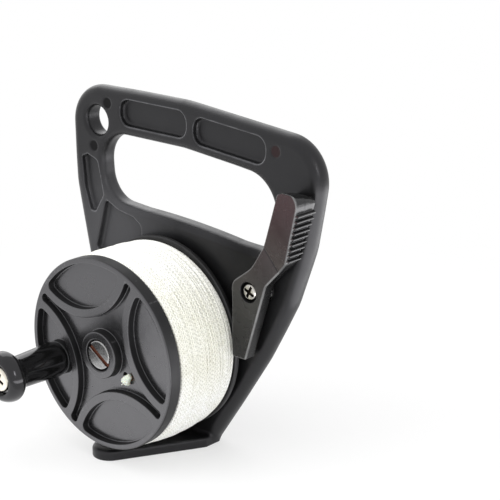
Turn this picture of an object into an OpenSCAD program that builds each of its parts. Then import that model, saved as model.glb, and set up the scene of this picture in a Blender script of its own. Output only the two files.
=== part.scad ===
// Dive reel: a spool of line on a moulded frame with a hand opening, a crank knob and a thumb brake.
// X runs to the right seen from the crank, Y runs from the crank to the frame's back, Z is up.
// The origin lies on the floor under the axle, in the plane of the frame plate's front face.

/* [Frame] */
// Thickness of the frame plate
plate_t = 10; // [9.5:0.5:14]
// Rounding of the plate's outer edge
edge_r = 4; // [2:0.25:4.5]
// Reach of the hand opening to the left of the axle
opening_left = 45.2; // [42:0.1:60]
// Reach of the hand opening to the right of the axle
opening_right = 63; // [58:0.1:75]
// Height of the hand opening
opening_h = 39.5; // [36:0.5:50]
// Chamfer round the hand opening
opening_lip = 2; // [1:0.25:3]
// Web of the plate between the spool and the hand opening
opening_web = 3.6; // [0.5:0.1:8]
// Height of the grip bar over the hand opening
bar_h = 20; // [17:0.5:28]
// Width of the plate to the left of the hand opening
left_wall = 19.8; // [16:0.1:28]
// Width of the plate to the right of the hand opening
right_wall = 24.6; // [20:0.2:30]
// Radius of the plate's top left corner
left_corner_r = 19; // [15:0.5:20]
// Radius of the plate's top right corner
right_corner_r = 20; // [14:0.5:24]
// Radius of the plate's long flanks
flank_r = 40; // [36:1:44]
// Depth of the moulded pockets
pocket_depth = 3; // [1:0.25:3.25]
// Height of the moulded pockets in the grip bar
bar_pocket_h = 12.4; // [8:0.2:13]
// Radius of the lanyard hole
lanyard_r = 7; // [4:0.25:7.5]
// Chamfer of the lanyard hole
lanyard_lip = 1.75; // [0.5:0.25:2]

/* [Foot] */
// Thickness of the foot
foot_t = 5; // [4:0.5:8]
// Width of the foot at the plate
foot_w = 59; // [48:1:70]
// Radius of the foot's tip
foot_tip_r = 8.5; // [6:0.5:12]
// Offset of the foot from the axle's plane
foot_x = -3.5; // [-8:0.5:4]
// Gap between the foot and the spool
foot_gap = 2.1; // [1:0.1:4]

/* [Spool] */
// Radius of the rear flange
rear_flange_r = 45.4; // [43:0.1:50]
// Thickness of the rear flange
rear_flange_t = 2.4; // [2.2:0.1:5]
// Step of the front flange's rim inside the rear flange's rim
flange_step = 0.8; // [0.5:0.1:2.5]
// Thickness of the front flange at its rim
flange_t = 6.2; // [5.8:0.1:8]
// Thickness of the front flange under its pockets
web_t = 2.8; // [2.4:0.1:3.2]
// Width of the rim's raised band
rim_w = 2.6; // [2:0.1:4]
// Radius of the petal pockets' inner arc
petal_r = 31; // [28:0.5:32]
// Distance of that arc's centre beyond the rim's band
petal_offset = 10.2; // [8.5:0.2:12]
// Width of the ridges between the pockets
ridge_w = 4; // [3:0.25:4.5]
// Rounding of the petal pockets' corners
petal_corner_r = 2.5; // [1.5:0.25:3]
// Turn of the pocket pattern
relief_turn = 17.5; // [0:0.5:45]
// Radius of the hub boss
hub_r = 11; // [10:0.25:13]
// Rise of the hub boss over the rim
hub_rise = 1; // [0.5:0.25:2]
// Space between the flanges
spool_w = 34.7; // [34:0.1:40]
// Radius of the drum
drum_r = 13; // [12.5:0.25:13.25]
// Radius of the drum's bore
drum_bore_r = 9; // [8:0.25:9.5]

/* [Line] */
// Diameter of the line in the outer layer
line_d = 1.3; // [0.9:0.05:1.3]
// Turns in the outer layer
line_turns = 19; // [12:1:19]
// Depth of the winding below the rear flange's rim
line_margin = 0.8; // [0.5:0.1:4]
// Gap between the winding and the flanges
line_gap = 0.3; // [0.2:0.05:0.5]
// Distance of the line's knot from the axle
knot_reach = 14.8; // [14.6:0.1:15.2]

/* [Axle] */
// Radius of the axle bolt's shank
bolt_r = 4; // [3:0.25:4.25]
// Radius of the axle bolt's head
bolt_head_r = 6.8; // [6:0.1:7]
// Thickness of the axle bolt's head
bolt_head_t = 3; // [2.5:0.25:3.2]
// Outer radius of the axle sleeve
sleeve_r = 6; // [5.25:0.25:6.25]
// Thickness of the nylon thrust washer
thrust_t = 1.5; // [1:0.25:2.5]
// Rise of the frame's axle boss
boss_rise = 1; // [0.5:0.25:2]
// Width of the axle nut over its flats
axle_nut_w = 13; // [11:0.5:14]
// Height of the axle nut
axle_nut_h = 6.5; // [5:0.5:8]

/* [Crank] */
// Distance of the knob's axis inside the front flange's rim
crank_inset = 14.4; // [13:0.2:16]
// Length of the knob
knob_l = 35.2; // [32:0.1:44]
// Radius of the knob's bulb
knob_bulb_r = 11.75; // [10:0.25:13]
// Radius of the knob's neck
knob_neck_r = 7.5; // [6:0.25:7.75]
// Radius of the knob's base collar
knob_base_r = 8.3; // [7.5:0.1:9]
// Radius of the spindle
spindle_r = 3; // [2.75:0.25:3.5]

/* [Brake] */
// Distance of the lever's pivot from the rear flange's rim
pivot_reach = 10.2; // [9:0.1:12]
// Height of the lever's pivot over the axle
pivot_rise = 32.5; // [30:0.5:38]
// Thickness of the lever's arm
lever_t = 6; // [5.5:0.25:8]
// Depth that the thumb pad stands in front of the arm
pad_rise = 5.5; // [3:0.5:8]
// Number of ribs on the thumb pad
rib_count = 9; // [5:1:10]
// Radius of the lever's pivot sleeve
pivot_sleeve_r = 3.5; // [3.25:0.25:3.75]
// Gap between the brake's shoe and the rear flange's rim at rest
brake_gap = 0.5; // [0.3:0.05:1]
// Radius of the return spring's coil
spring_r = 5.9; // [5.7:0.1:6.2]
// Diameter of the return spring's wire
spring_wire = 1; // [0.8:0.1:1]

/* [Hidden] */
$fn = 64;
hull_fn = 40;

// Clearances
fit_gap = 0.05;
play = 0.3;
axial_play = 0.2;
cut = 1;

// Places along the axle
y_rear_back = -(boss_rise + thrust_t + axial_play);
y_rear_front = y_rear_back - rear_flange_t;
y_front_back = y_rear_front - spool_w;
y_web = y_front_back - web_t;
y_face = y_front_back - flange_t;
y_hub = y_face - hub_rise;
washer_t = 1;
head_sunk = 0.2;
y_head_seat = y_hub + head_sunk + bolt_head_t + washer_t;
y_counterbore = y_head_seat + play;
axle_h = foot_t + foot_gap + rear_flange_r;

// Back of the axle: a washer and nut in a counterbore
nut_bore_r = 9.5;
nut_bore_depth = 4.5;
rear_washer_t = 1.5;
rear_washer_r = nut_bore_r - 1;
y_nut_bore = plate_t - nut_bore_depth;
y_nut = y_nut_bore + rear_washer_t;
thread_proud = 1.5;
y_bolt_end = y_nut + axle_nut_h + thread_proud;

// Spool details
flange_r = rear_flange_r - flange_step;
rim_in = flange_r - rim_w;
rim_edge = 0.8;
petal_d = rim_in + petal_offset;
star_r = petal_r + ridge_w;
star_full_round = (rim_in * rim_in + petal_d * petal_d - sqrt(2) * petal_d * rim_in - star_r * star_r)
    / (2 * rim_in + 2 * star_r - sqrt(2) * petal_d);
star_corner_r = 0.8 * star_full_round;
head_bore_r = bolt_head_r + 0.6;
spigot_r = drum_bore_r + 1.6;
spigot_l = 1;
bush_l = 8;
line_r = rear_flange_r - line_margin;
line_steps = 24;
core_gap = 0.1;
core_r = (line_r - line_d / 2) * cos(180 / line_steps) - line_d / 2 - core_gap;
knot_angle = relief_turn - 47.5;
knot_hole_r = 1.4;
knot_r = 2.6;
knot_x = knot_reach * cos(knot_angle);
knot_z = axle_h + knot_reach * sin(knot_angle);

// Crank places
crank_reach = flange_r - crank_inset;
crank_angle = relief_turn + 180;
crank_x = crank_reach * cos(crank_angle);
crank_z = axle_h + crank_reach * sin(crank_angle);
crank_pad_r = knob_base_r - 0.3;
y_knob = y_face - play;
y_knob_end = y_knob - knob_l;
knob_bore_r = 7.2;
knob_bore_depth = 4.4;
y_knob_seat = y_knob_end + knob_bore_depth;
y_spindle_end = y_knob_seat - play;
knob_head_t = 2.6;
knob_head_r = 6;
knob_thread_r = 2;
knob_thread_l = 10;
spindle_head_r = spindle_r + 2.5;
spindle_head_t = 1.9;

// Lever places
pivot_x = rear_flange_r + pivot_reach;
pivot_z = axle_h + pivot_rise;
pivot_boss_r = 4.6;
pivot_boss_rise = 1.2;
lever_washer_t = 1;
pivot_thread_r = 2;
pivot_head_r = 4.25;
pivot_head_t = 2.6;
pivot_head_bore_r = pivot_head_r + 0.75;
y_lever_back = -(pivot_boss_rise + lever_washer_t + play);
y_pad_back = -1.2;
y_lever = y_lever_back - lever_t;
y_pivot_head = y_lever + play + pivot_head_t;
pivot_nut_w = 7;
pivot_nut_h = 3.2;
pivot_nut_bore_r = 5;
pivot_nut_depth = 4;
spring_pocket_r = spring_r + 0.9;
spring_pocket_depth = 4;
spring_leg = 8.4;
y_spring_low = spring_pocket_depth - play - spring_wire / 2;
y_spring_high = y_lever_back + 0.6 + spring_wire / 2;
spring_turns = 2.75;
lever_swing = 8;
spring_leg_swing = (spring_leg + spring_wire) * sin(lever_swing);

// Outline of the hand opening: corner circles as x, z and radius
opening_low = axle_h + rear_flange_r + opening_web;
opening_top = opening_low + opening_h;
opening_mid = 7;
opening_drop = 4.1;
opening_rise = 4.7;
opening_r = [15.6, 18, 17.6, 10.5, 14.7];
opening_corners = [
    [-opening_left + opening_r[0], opening_top - opening_r[0], opening_r[0]],
    [opening_mid, opening_top - 0.5 - opening_r[1], opening_r[1]],
    [opening_right - opening_r[2], opening_top - opening_drop - opening_r[2], opening_r[2]],
    [opening_right - 0.5 - opening_r[3], opening_low + opening_r[3], opening_r[3]],
    [-opening_left + 0.5 + opening_r[4], opening_low + opening_rise + opening_r[4], opening_r[4]],
];

// Outline of the plate: corner circles as x, z and radius
plate_left = -opening_left - left_wall;
plate_right = opening_right + right_wall;
plate_top = opening_top + bar_h;
crown = 0.4;
crown_x = 6;
shoulder_drop = 4.9;
bottom_corner_r = edge_r + 1;
// How far the right flank's circles reach out from the pivot and how far up they stand
right_flank = [[28, 31.7], [20.4, 10.6], [6.7, -14.6]];
// How far the left flank's circles reach out from the spool's rim and how far above the axle they stand
left_flank = [[11.5, 29.5], [19, 65.2]];
plate_corners = [
    [plate_left + left_corner_r, plate_top - left_corner_r, left_corner_r],
    [crown_x, plate_top + crown - right_corner_r, right_corner_r],
    [plate_right - right_corner_r, plate_top - shoulder_drop - right_corner_r, right_corner_r],
    for (p = right_flank) [pivot_x + p.x - flank_r, pivot_z + p.y, flank_r],
    [foot_x + foot_w / 2 - bottom_corner_r, bottom_corner_r, bottom_corner_r],
    [foot_x - foot_w / 2 + bottom_corner_r, bottom_corner_r, bottom_corner_r],
    for (p = left_flank) [-rear_flange_r - p.x + flank_r, axle_h + p.y, flank_r],
];

// Moulded pockets of the plate as x, z and corner radius
bar_mid = opening_top + bar_h / 2;
bar_drop = 4.6;
left_bar_pocket = pocket_box([-opening_left + 34.8, bar_mid], 42, bar_pocket_h, 0);
right_bar_pocket = pocket_box([opening_right - 26.7, bar_mid - 2.8], 42.5, bar_pocket_h, -bar_drop);
side_pocket = [
    [plate_left + 6.6, opening_top - 15.7, 1.5], [plate_left + 10.4, opening_top - 13.8, 1.5],
    [plate_left + 17.1, opening_top - 16, 2], [plate_left + 18.8, opening_top - 24.5, 6],
    [plate_left + 20.8, opening_top - 32, 1.5], [plate_left + 15, opening_top - 41.2, 1.5],
    [plate_left + 11.6, opening_top - 41.2, 1], [plate_left + 8, opening_top - 30.3, 8],
];
corner_pocket = [
    [plate_left + 22.4, opening_low + 5.3, 1.5], [plate_left + 30.9, opening_low + 1.5, 6],
    [plate_left + 40.9, opening_low, 4], [plate_left + 45.9, opening_low - 3.5, 3],
    [plate_left + 45.9, opening_low - 11, 3], [plate_left + 41.4, opening_low - 20, 4],
    [plate_left + 15, opening_low - 20.5, 1.5],
];
lanyard_x = plate_left + left_corner_r - 1.4;
lanyard_z = plate_top - left_corner_r + 2.5;
// Shallow round marks where the mould's ejector pins stood, as x and z
ejector_marks = [[plate_left + 25.2, plate_top - 7.1], [plate_left + 15.3, plate_top - 29],
                 [opening_right + 0.5, opening_top + 7]];
ejector_r = 2.7;
ejector_depth = 0.3;

// Foot outline
y_foot_tip = y_face + foot_tip_r;
foot_root = edge_r + 2;
foot_shoulder = 4;

// Lever outline around its pivot, as x, z and corner radius
shoe_x = brake_gap - pivot_reach;
arm_l = pivot_rise - 0.4;
arm_tip_w = 7.4;
pad_crease = [[8.6, 22.8], [17.5, 12.8]];
pad_top = 51.3;
// Slope of the pad's top, down towards the frame
pad_fall = 17;
lever_outline = [
    [shoe_x, -arm_l, 1], [shoe_x, -4, 10], [shoe_x - 0.4, 2.8, 6], [1.4, 11.4, 16],
    [pad_crease[0].x, pad_crease[0].y, 3], [20.6, pad_top, 5.5], [33.6, pad_top, 5.5], [21.9, 17.5, 3],
    [9.8, 4.6, 4],
    [shoe_x + arm_tip_w, -arm_l, 1],
];
pad_outline = [
    [pad_crease[0].x, pad_crease[0].y, 0.5], [20.6, pad_top, 5.5], [33.6, pad_top, 5.5], [21.9, 17.5, 3],
    [pad_crease[1].x, pad_crease[1].y, 0.5],
];
pad_along = unit(pad_crease[1] - pad_crease[0]);
pad_normal = [-pad_along.y, pad_along.x];
pad_tip = [27.4, pad_top];
pad_slope = pad_rise / ((pad_tip - pad_crease[0]) * pad_normal);
rib_set_back = 0.5;
rib_r = 0.9;
rib_low = [22.6, 19.5];
rib_high = [30.3, 41.6];
peg_r = 1.2;
peg = [-spring_r - 1.1, -spring_r + spring_wire / 2 + play + peg_r];

// Unit vector along v
function unit(v) = v / norm(v);

// Points on an arc about c from angle a0 to angle a1
function arc(c, r, a0, a1, steps) =
    [for (i = [0 : steps]) let (a = a0 + (a1 - a0) * i / steps) c + r * [cos(a), sin(a)]];

// Points of the arc that rounds corner b between a and c
function corner(a, b, c, r, steps = 6) =
    let (u = unit(a - b), v = unit(c - b), half = acos(u * v) / 2, mid = b + unit(u + v) * r / sin(half),
         s = b + u * r / tan(half) - mid, e = b + v * r / tan(half) - mid,
         a0 = atan2(s.y, s.x), turn = atan2(s.x * e.y - s.y * e.x, s * e))
    arc(mid, r, a0, a0 + turn, steps);

// Closed outline through points given as x, z and corner radius
function rounded(points) = let (n = len(points)) [
    for (i = [0 : n - 1])
        let (a = points[(i + n - 1) % n], b = points[i], c = points[(i + 1) % n])
        each corner([a.x, a.y], [b.x, b.y], [c.x, c.y], b.z)
];

// Box with round ends about a centre, turned by an angle
function pocket_box(centre, w, h, turn) = [
    for (s = [[-1, -1], [1, -1], [1, 1], [-1, 1]])
        let (x = s.x * w / 2, z = s.y * h / 2)
        [centre.x + x * cos(turn) - z * sin(turn), centre.y + x * sin(turn) + z * cos(turn), h * 0.42]
];

// Petal pocket: inside the rim's band and inside the petal's arc, with rounded corners
function petal() =
    let (a = rim_in - petal_corner_r, b = petal_r - petal_corner_r,
         u = (petal_d * petal_d + a * a - b * b) / (2 * petal_d), v = sqrt(a * a - u * u),
         rim_turn = atan2(v, u), arc_turn = atan2(v, u - petal_d))
    concat(arc([0, 0], rim_in, -rim_turn, rim_turn, 24),
           arc([u, v], petal_corner_r, rim_turn, arc_turn, 8),
           arc([petal_d, 0], petal_r, arc_turn, 360 - arc_turn, 24),
           arc([u, -v], petal_corner_r, -arc_turn, -rim_turn, 8));

// Star floor: inside the rim's band and outside the four ridges, with rounded arm ends
function star() =
    let (a = rim_in - star_corner_r, b = star_r + star_corner_r,
         u = (petal_d * petal_d + a * a - b * b) / (2 * petal_d), v = sqrt(a * a - u * u),
         rim_turn = atan2(v, u), arc_turn = atan2(v, u - petal_d))
    [for (k = [0 : 3]) each [
        for (p = concat(arc([petal_d, 0], star_r, 360 - arc_turn, arc_turn, 16),
                        arc([u, v], star_corner_r, arc_turn - 180, rim_turn, 6),
                        arc([0, 0], rim_in, rim_turn, 90 - rim_turn, 2),
                        arc([v, u], star_corner_r, 90 - rim_turn, 270 - arc_turn, 6)))
            [p.x * cos(90 * k) - p.y * sin(90 * k), p.x * sin(90 * k) + p.y * cos(90 * k)]
    ]];

// Front of the thumb pad at a point beside the pivot
function pad_front(p) = y_lever - pad_slope * ((p - pad_crease[0]) * pad_normal);

// Helix about the Y axis at x, z: turns from y0 to y1, with a straight tangent lead at each end
function helix(x, z, r, first, y0, y1, turns, steps, lead) =
    let (n = turns * steps,
         points = [for (i = [0 : n]) let (a = first + 360 * i / steps)
             [x + r * cos(a), y0 + (y1 - y0) * i / n, z + r * sin(a)]],
         last = first + 360 * turns,
         start = points[0] + lead * [sin(first), 0, -cos(first)],
         end = points[n] + lead * [-sin(last), 0, cos(last)])
    concat([start], points, [end]);

// Least distance between turns of a path, less the tube's diameter
function least_gap(path, steps, d) =
    min([for (i = [0 : len(path) - 1], j = [i + steps / 2 : min(i + steps * 1.5, len(path) - 1)])
        norm(path[i] - path[j])]) - d;

// Tube of n sides along a path that stays square to the Y axis within a small slope
module tube(path, r, n) {
    last = len(path) - 1;
    rings = [for (i = [0 : last])
        let (t = unit(path[min(i + 1, last)] - path[max(i - 1, 0)]),
             u = unit(cross(t, [0, 1, 0])), v = cross(u, t))
        for (k = [0 : n - 1]) path[i] + r * (u * cos(360 * k / n) + v * sin(360 * k / n))];
    sides = [for (i = [0 : last - 1], k = [0 : n - 1])
        let (a = i * n + k, b = i * n + (k + 1) % n)
        each [[a, b, a + n], [b, b + n, a + n]]];
    caps = [for (k = [1 : n - 2]) each [[0, k + 1, k], [last * n, last * n + k, last * n + k + 1]]];
    polyhedron(rings, concat(sides, caps));
}

// Plate between two planes square to the Y axis, from an outline in x and z
module slab(y0, y1) {
    translate([0, y1, 0])
        rotate([90, 0, 0])
            linear_extrude(y1 - y0)
                children();
}

// Round bar along Y
module rod(x, z, r, y0, y1) {
    translate([x, y0, z])
        rotate([-90, 0, 0])
            cylinder(r = r, h = y1 - y0);
}

// Cone along Y
module cone(x, z, r0, r1, y0, y1) {
    translate([x, y0, z])
        rotate([-90, 0, 0])
            cylinder(r1 = r0, r2 = r1, h = y1 - y0);
}

// Tube along Y
module pipe(x, z, r_in, r_out, y0, y1) {
    difference() {
        rod(x, z, r_out, y0, y1);
        rod(x, z, r_in, y0 - cut, y1 + cut);
    }
}

// Turned piece about a Y axis, from a profile in radius and y
module turned(x, z) {
    translate([x, 0, z])
        rotate([-90, 0, 0])
            rotate_extrude()
                children();
}

// Hexagon nut with its bore
module hex_nut(x, z, w, bore_r, y0, y1) {
    difference() {
        translate([x, y0, z])
            rotate([-90, 0, 0])
                cylinder(r = w / 2 / cos(30), h = y1 - y0, $fn = 6);
        rod(x, z, bore_r, y0 - cut, y1 + cut);
    }
}

// Pan head screw whose head faces -Y, with a cross recess
module cross_screw(x, z, head_r, head_t, thread_r, y_seat, y_end) {
    recess = head_r * 1.15;
    recess_w = head_r * 0.24;
    recess_depth = head_t * 0.5;
    difference() {
        turned(x, z)
            polygon([[0, y_end], [thread_r - 0.4, y_end], [thread_r, y_end - 0.4], [thread_r, y_seat],
                     [head_r, y_seat], [head_r, y_seat - head_t * 0.45],
                     [head_r * 0.9, y_seat - head_t * 0.8], [head_r * 0.62, y_seat - head_t],
                     [0, y_seat - head_t]]);
        for (turn = [25, 115])
            translate([x, y_seat - head_t + recess_depth / 2, z])
                rotate([0, turn, 0])
                    cube([recess, recess_depth + 0.02, recess_w], center = true);
    }
}

// Plate with a round edge: the hull of a rounded disc at each corner
module plate() {
    hull()
        for (c = plate_corners, a = [0 : 22.5 : 90])
            let (half = plate_t / 2 - edge_r + edge_r * sin(a))
                translate([c.x, plate_t / 2 - half, c.y])
                    rotate([-90, 0, 0])
                        cylinder(r = c.z - edge_r + edge_r * cos(a), h = 2 * half, $fn = hull_fn);
}

// Cutter of the hand opening with a chamfer at both faces
module hand_opening() {
    hull()
        for (c = opening_corners)
            translate([0, -cut, 0])
                rod(c.x, c.y, c.z, 0, plate_t + 2 * cut, $fn = hull_fn);
    hull()
        for (c = opening_corners)
            cone(c.x, c.y, c.z + opening_lip + cut, c.z, -cut, opening_lip, $fn = hull_fn);
    hull()
        for (c = opening_corners)
            cone(c.x, c.y, c.z, c.z + opening_lip + cut, plate_t - opening_lip, plate_t + cut,
                 $fn = hull_fn);
}

// Flat tongue under the spool
module foot() {
    root_x = foot_w / 2 - edge_r / 4;
    rise = -foot_shoulder - y_foot_tip;
    tangent = atan2(rise, root_x) - acos(foot_tip_r / norm([root_x, rise]));
    side = foot_tip_r * [cos(tangent), sin(tangent)];
    linear_extrude(foot_t) {
        translate([foot_x, y_foot_tip])
            circle(r = foot_tip_r);
        polygon([[foot_x + side.x, y_foot_tip + side.y], [foot_x + root_x, -foot_shoulder],
                 [foot_x + root_x, foot_root], [foot_x - root_x, foot_root],
                 [foot_x - root_x, -foot_shoulder], [foot_x - side.x, y_foot_tip + side.y]]);
    }
}

// Cutter of the ring pocket for the return spring and of the slot for its leg
module spring_pocket() {
    slot_left = spring_r + spring_wire / 2 + play;
    slot_w = spring_wire + spring_leg_swing + 2 * play;
    difference() {
        union() {
            rod(pivot_x, pivot_z, spring_pocket_r, -cut, spring_pocket_depth);
            translate([pivot_x - slot_left, -cut, pivot_z - spring_leg - spring_leg_swing])
                cube([slot_w, spring_pocket_depth + cut, spring_leg + spring_leg_swing]);
        }
        rod(pivot_x, pivot_z, pivot_boss_r, -2 * cut, spring_pocket_depth + cut);
    }
}

module frame() {
    color("#2c2d30")
        difference() {
            union() {
                plate();
                foot();
                rod(0, axle_h, sleeve_r * 2, -boss_rise, plate_t / 2);
                rod(pivot_x, pivot_z, pivot_boss_r, -pivot_boss_rise, plate_t / 2);
            }
            hand_opening();
            for (outline = [left_bar_pocket, right_bar_pocket])
                for (y = [-cut, plate_t - pocket_depth])
                    slab(y, y + pocket_depth + cut)
                        polygon(rounded(outline));
            for (outline = [side_pocket, corner_pocket])
                slab(-cut, pocket_depth)
                    polygon(rounded(outline));
            for (m = ejector_marks)
                rod(m.x, m.y, ejector_r, -cut, ejector_depth);
            rod(lanyard_x, lanyard_z, lanyard_r, -cut, plate_t + cut);
            cone(lanyard_x, lanyard_z, lanyard_r + lanyard_lip + cut, lanyard_r, -cut, lanyard_lip);
            cone(lanyard_x, lanyard_z, lanyard_r, lanyard_r + lanyard_lip + cut, plate_t - lanyard_lip,
                 plate_t + cut);
            rod(0, axle_h, bolt_r + fit_gap, -boss_rise - cut, plate_t);
            rod(0, axle_h, nut_bore_r, y_nut_bore, plate_t + cut);
            rod(pivot_x, pivot_z, pivot_thread_r + fit_gap, -pivot_boss_rise - cut, plate_t);
            rod(pivot_x, pivot_z, pivot_nut_bore_r, plate_t - pivot_nut_depth, plate_t + cut);
            spring_pocket();
        }
}

module axle_bolt() {
    slot_w = 1.8;
    slot_depth = 1.4;
    slot_turn = 33;
    y_front = y_head_seat - washer_t - bolt_head_t;
    color("#c9cbce")
        difference() {
            turned(0, axle_h)
                polygon([[0, y_bolt_end], [bolt_r - 0.6, y_bolt_end], [bolt_r, y_bolt_end - 0.6],
                         [bolt_r, y_head_seat - washer_t], [bolt_head_r, y_head_seat - washer_t],
                         [bolt_head_r, y_front + 0.5], [bolt_head_r - 0.5, y_front], [0, y_front]]);
            translate([0, y_front + slot_depth / 2, axle_h])
                rotate([0, slot_turn, 0])
                    cube([2 * bolt_head_r + cut, slot_depth + 0.02, slot_w], center = true);
        }
}

module axle_sleeve() {
    color("#b08d4a")
        pipe(0, axle_h, bolt_r + fit_gap, sleeve_r, y_head_seat, -boss_rise);
}

module head_washer() {
    color("#b9bbbe")
        pipe(0, axle_h, bolt_r + fit_gap, bolt_head_r + 0.2, y_head_seat - washer_t, y_head_seat);
}

module thrust_washer() {
    color("#e6e3d8")
        pipe(0, axle_h, sleeve_r + fit_gap, sleeve_r * 2, -boss_rise - thrust_t, -boss_rise);
}

module rear_washer() {
    color("#b9bbbe")
        pipe(0, axle_h, bolt_r + fit_gap, rear_washer_r, y_nut_bore, y_nut);
}

module axle_nut() {
    color("#b9bbbe")
        hex_nut(0, axle_h, axle_nut_w, bolt_r + fit_gap, y_nut, y_nut + axle_nut_h);
}

module front_flange() {
    color("#55565b")
        difference() {
            union() {
                turned(0, axle_h)
                    polygon([[0, y_front_back], [flange_r, y_front_back], [flange_r, y_face + rim_edge],
                             [flange_r - rim_edge, y_face], [0, y_face]]);
                rod(0, axle_h, hub_r, y_hub, y_web);
            }
            for (k = [0 : 3])
                slab(y_face - cut, y_web)
                    difference() {
                        translate([0, axle_h])
                            rotate(relief_turn + 90 * k)
                                polygon(petal());
                        translate([crank_x, crank_z])
                            circle(r = crank_pad_r);
                    }
            slab(y_face - cut, y_web)
                difference() {
                    translate([0, axle_h])
                        rotate(relief_turn)
                            polygon(star());
                    translate([0, axle_h])
                        circle(r = hub_r);
                }
            rod(0, axle_h, head_bore_r, y_hub - cut, y_counterbore);
            rod(0, axle_h, sleeve_r + play, y_hub, y_front_back + cut);
            rod(0, axle_h, spigot_r + fit_gap, y_front_back - spigot_l - fit_gap, y_front_back + cut);
            rod(knot_x, knot_z, knot_hole_r, y_web - cut, y_front_back + cut);
            rod(crank_x, crank_z, spindle_r + fit_gap, y_face - cut, y_front_back + cut);
            rod(crank_x, crank_z, spindle_head_r + fit_gap, y_front_back - spindle_head_t - fit_gap,
                y_front_back + cut);
        }
}

module spool_drum() {
    color("#3a3b3f")
        difference() {
            union() {
                rod(0, axle_h, drum_r, y_front_back, y_rear_front);
                rod(0, axle_h, spigot_r, y_front_back - spigot_l, y_rear_front + spigot_l);
            }
            rod(0, axle_h, drum_bore_r, y_front_back - spigot_l - cut, y_rear_front + spigot_l + cut);
        }
}

module rear_flange() {
    color("#34353a")
        difference() {
            turned(0, axle_h)
                polygon([[0, y_rear_back], [rear_flange_r - rim_edge / 2, y_rear_back],
                         [rear_flange_r, y_rear_back - rim_edge / 2],
                         [rear_flange_r, y_rear_front + rim_edge / 2],
                         [rear_flange_r - rim_edge / 2, y_rear_front], [0, y_rear_front]]);
            rod(0, axle_h, drum_bore_r, y_rear_front - cut, y_rear_back + cut);
            rod(0, axle_h, spigot_r + fit_gap, y_rear_front - cut, y_rear_front + spigot_l + fit_gap);
        }
}

module front_bush() {
    color("#d8d4c4")
        pipe(0, axle_h, sleeve_r + fit_gap, drum_bore_r - fit_gap, y_front_back - spigot_l,
             y_front_back + bush_l);
}

module rear_bush() {
    color("#d8d4c4")
        pipe(0, axle_h, sleeve_r + fit_gap, drum_bore_r - fit_gap, y_rear_front - bush_l, y_rear_back);
}

module line_core() {
    hole = line_d / 2 + play;
    hole_depth = 6;
    color("#ecebe4")
        difference() {
            pipe(0, axle_h, drum_r + fit_gap, core_r, y_front_back + line_gap, y_rear_front - line_gap);
            rod(knot_x, knot_z, hole, y_front_back, y_front_back + hole_depth);
        }
}

module line_layer() {
    inset = line_gap + line_d / 2;
    first = 200;
    path = helix(0, axle_h, line_r - line_d / 2, first, y_rear_front - inset, y_front_back + inset,
                 line_turns, line_steps, line_d);
    echo(least_gap_of_the_line = least_gap(path, line_steps, line_d));
    color("#f4f3ee")
        tube(path, line_d / 2, 6);
}

module line_knot() {
    tail = 5;
    color("#f1efe2") {
        rod(knot_x, knot_z, line_d / 2, y_web - 1, y_front_back + tail);
        translate([knot_x, y_web - knot_r, knot_z])
            sphere(r = knot_r - fit_gap);
    }
}

module crank_spindle() {
    color("#b9bbbe")
        difference() {
            union() {
                rod(crank_x, crank_z, spindle_r, y_spindle_end, y_front_back - fit_gap);
                rod(crank_x, crank_z, spindle_head_r, y_front_back - spindle_head_t,
                    y_front_back - fit_gap);
            }
            rod(crank_x, crank_z, knob_thread_r + fit_gap, y_spindle_end - cut,
                y_spindle_end + knob_thread_l + cut);
        }
}

module crank_knob() {
    collar = 2;
    step = 0.3;
    bulb_l = knob_l / 3;
    y_neck = y_knob_end + bulb_l;
    y_bulb = y_knob_end + bulb_l * 0.48;
    grip = [for (i = [0 : 8]) let (s = i / 8)
        [knob_neck_r + (knob_base_r - step - knob_neck_r) * pow(1 - s, 1.3),
         y_knob - collar - step + (y_neck - y_knob + collar + step) * s]];
    bulb_back = [for (i = [1 : 10]) let (s = i / 10)
        [knob_neck_r + (knob_bulb_r - knob_neck_r) * (1 - cos(180 * s)) / 2,
         y_neck + (y_bulb - y_neck) * s]];
    nose_l = y_bulb - y_knob_end;
    nose = [for (i = [1 : 8]) let (a = 90 * i / 8)
        [knob_bore_r + 0.8 + (knob_bulb_r - knob_bore_r - 0.8) * cos(a), y_bulb - nose_l * sin(a)]];
    color("#17181a")
        turned(crank_x, crank_z)
            polygon(concat([[spindle_r + fit_gap, y_knob], [knob_base_r - 0.4, y_knob],
                            [knob_base_r, y_knob - 0.4], [knob_base_r, y_knob - collar]],
                           grip, bulb_back, nose,
                           [[knob_bore_r, y_knob_end], [knob_bore_r, y_knob_seat],
                            [spindle_r + fit_gap, y_knob_seat]]));
}

module knob_washer() {
    color("#b9bbbe")
        pipe(crank_x, crank_z, knob_thread_r + fit_gap, knob_bore_r - 0.4, y_spindle_end - washer_t,
             y_spindle_end);
}

module knob_screw() {
    y_seat = y_spindle_end - washer_t;
    color("#c9cbce")
        cross_screw(crank_x, crank_z, knob_head_r, knob_head_t, knob_thread_r, y_seat,
                    y_seat + knob_thread_l);
}

// Thumb pad in front of the arm, cut by the slanted plane that rises from the crease
module thumb_pad() {
    lean = atan2(pad_normal.y, pad_normal.x);
    tilt = atan(pad_slope);
    reach = 50;
    depth = 40;
    difference() {
        translate([pivot_x, 0, pivot_z])
            slab(y_lever - 2 * pad_rise, y_pad_back)
                polygon(rounded(pad_outline));
        translate([pivot_x + pad_crease[0].x, y_lever, pivot_z + pad_crease[0].y])
            rotate([0, -lean, 0])
                rotate([0, 0, -tilt])
                    translate([-reach, -depth, -reach])
                        cube([3 * reach, depth, 2 * reach]);
    }
}

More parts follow.
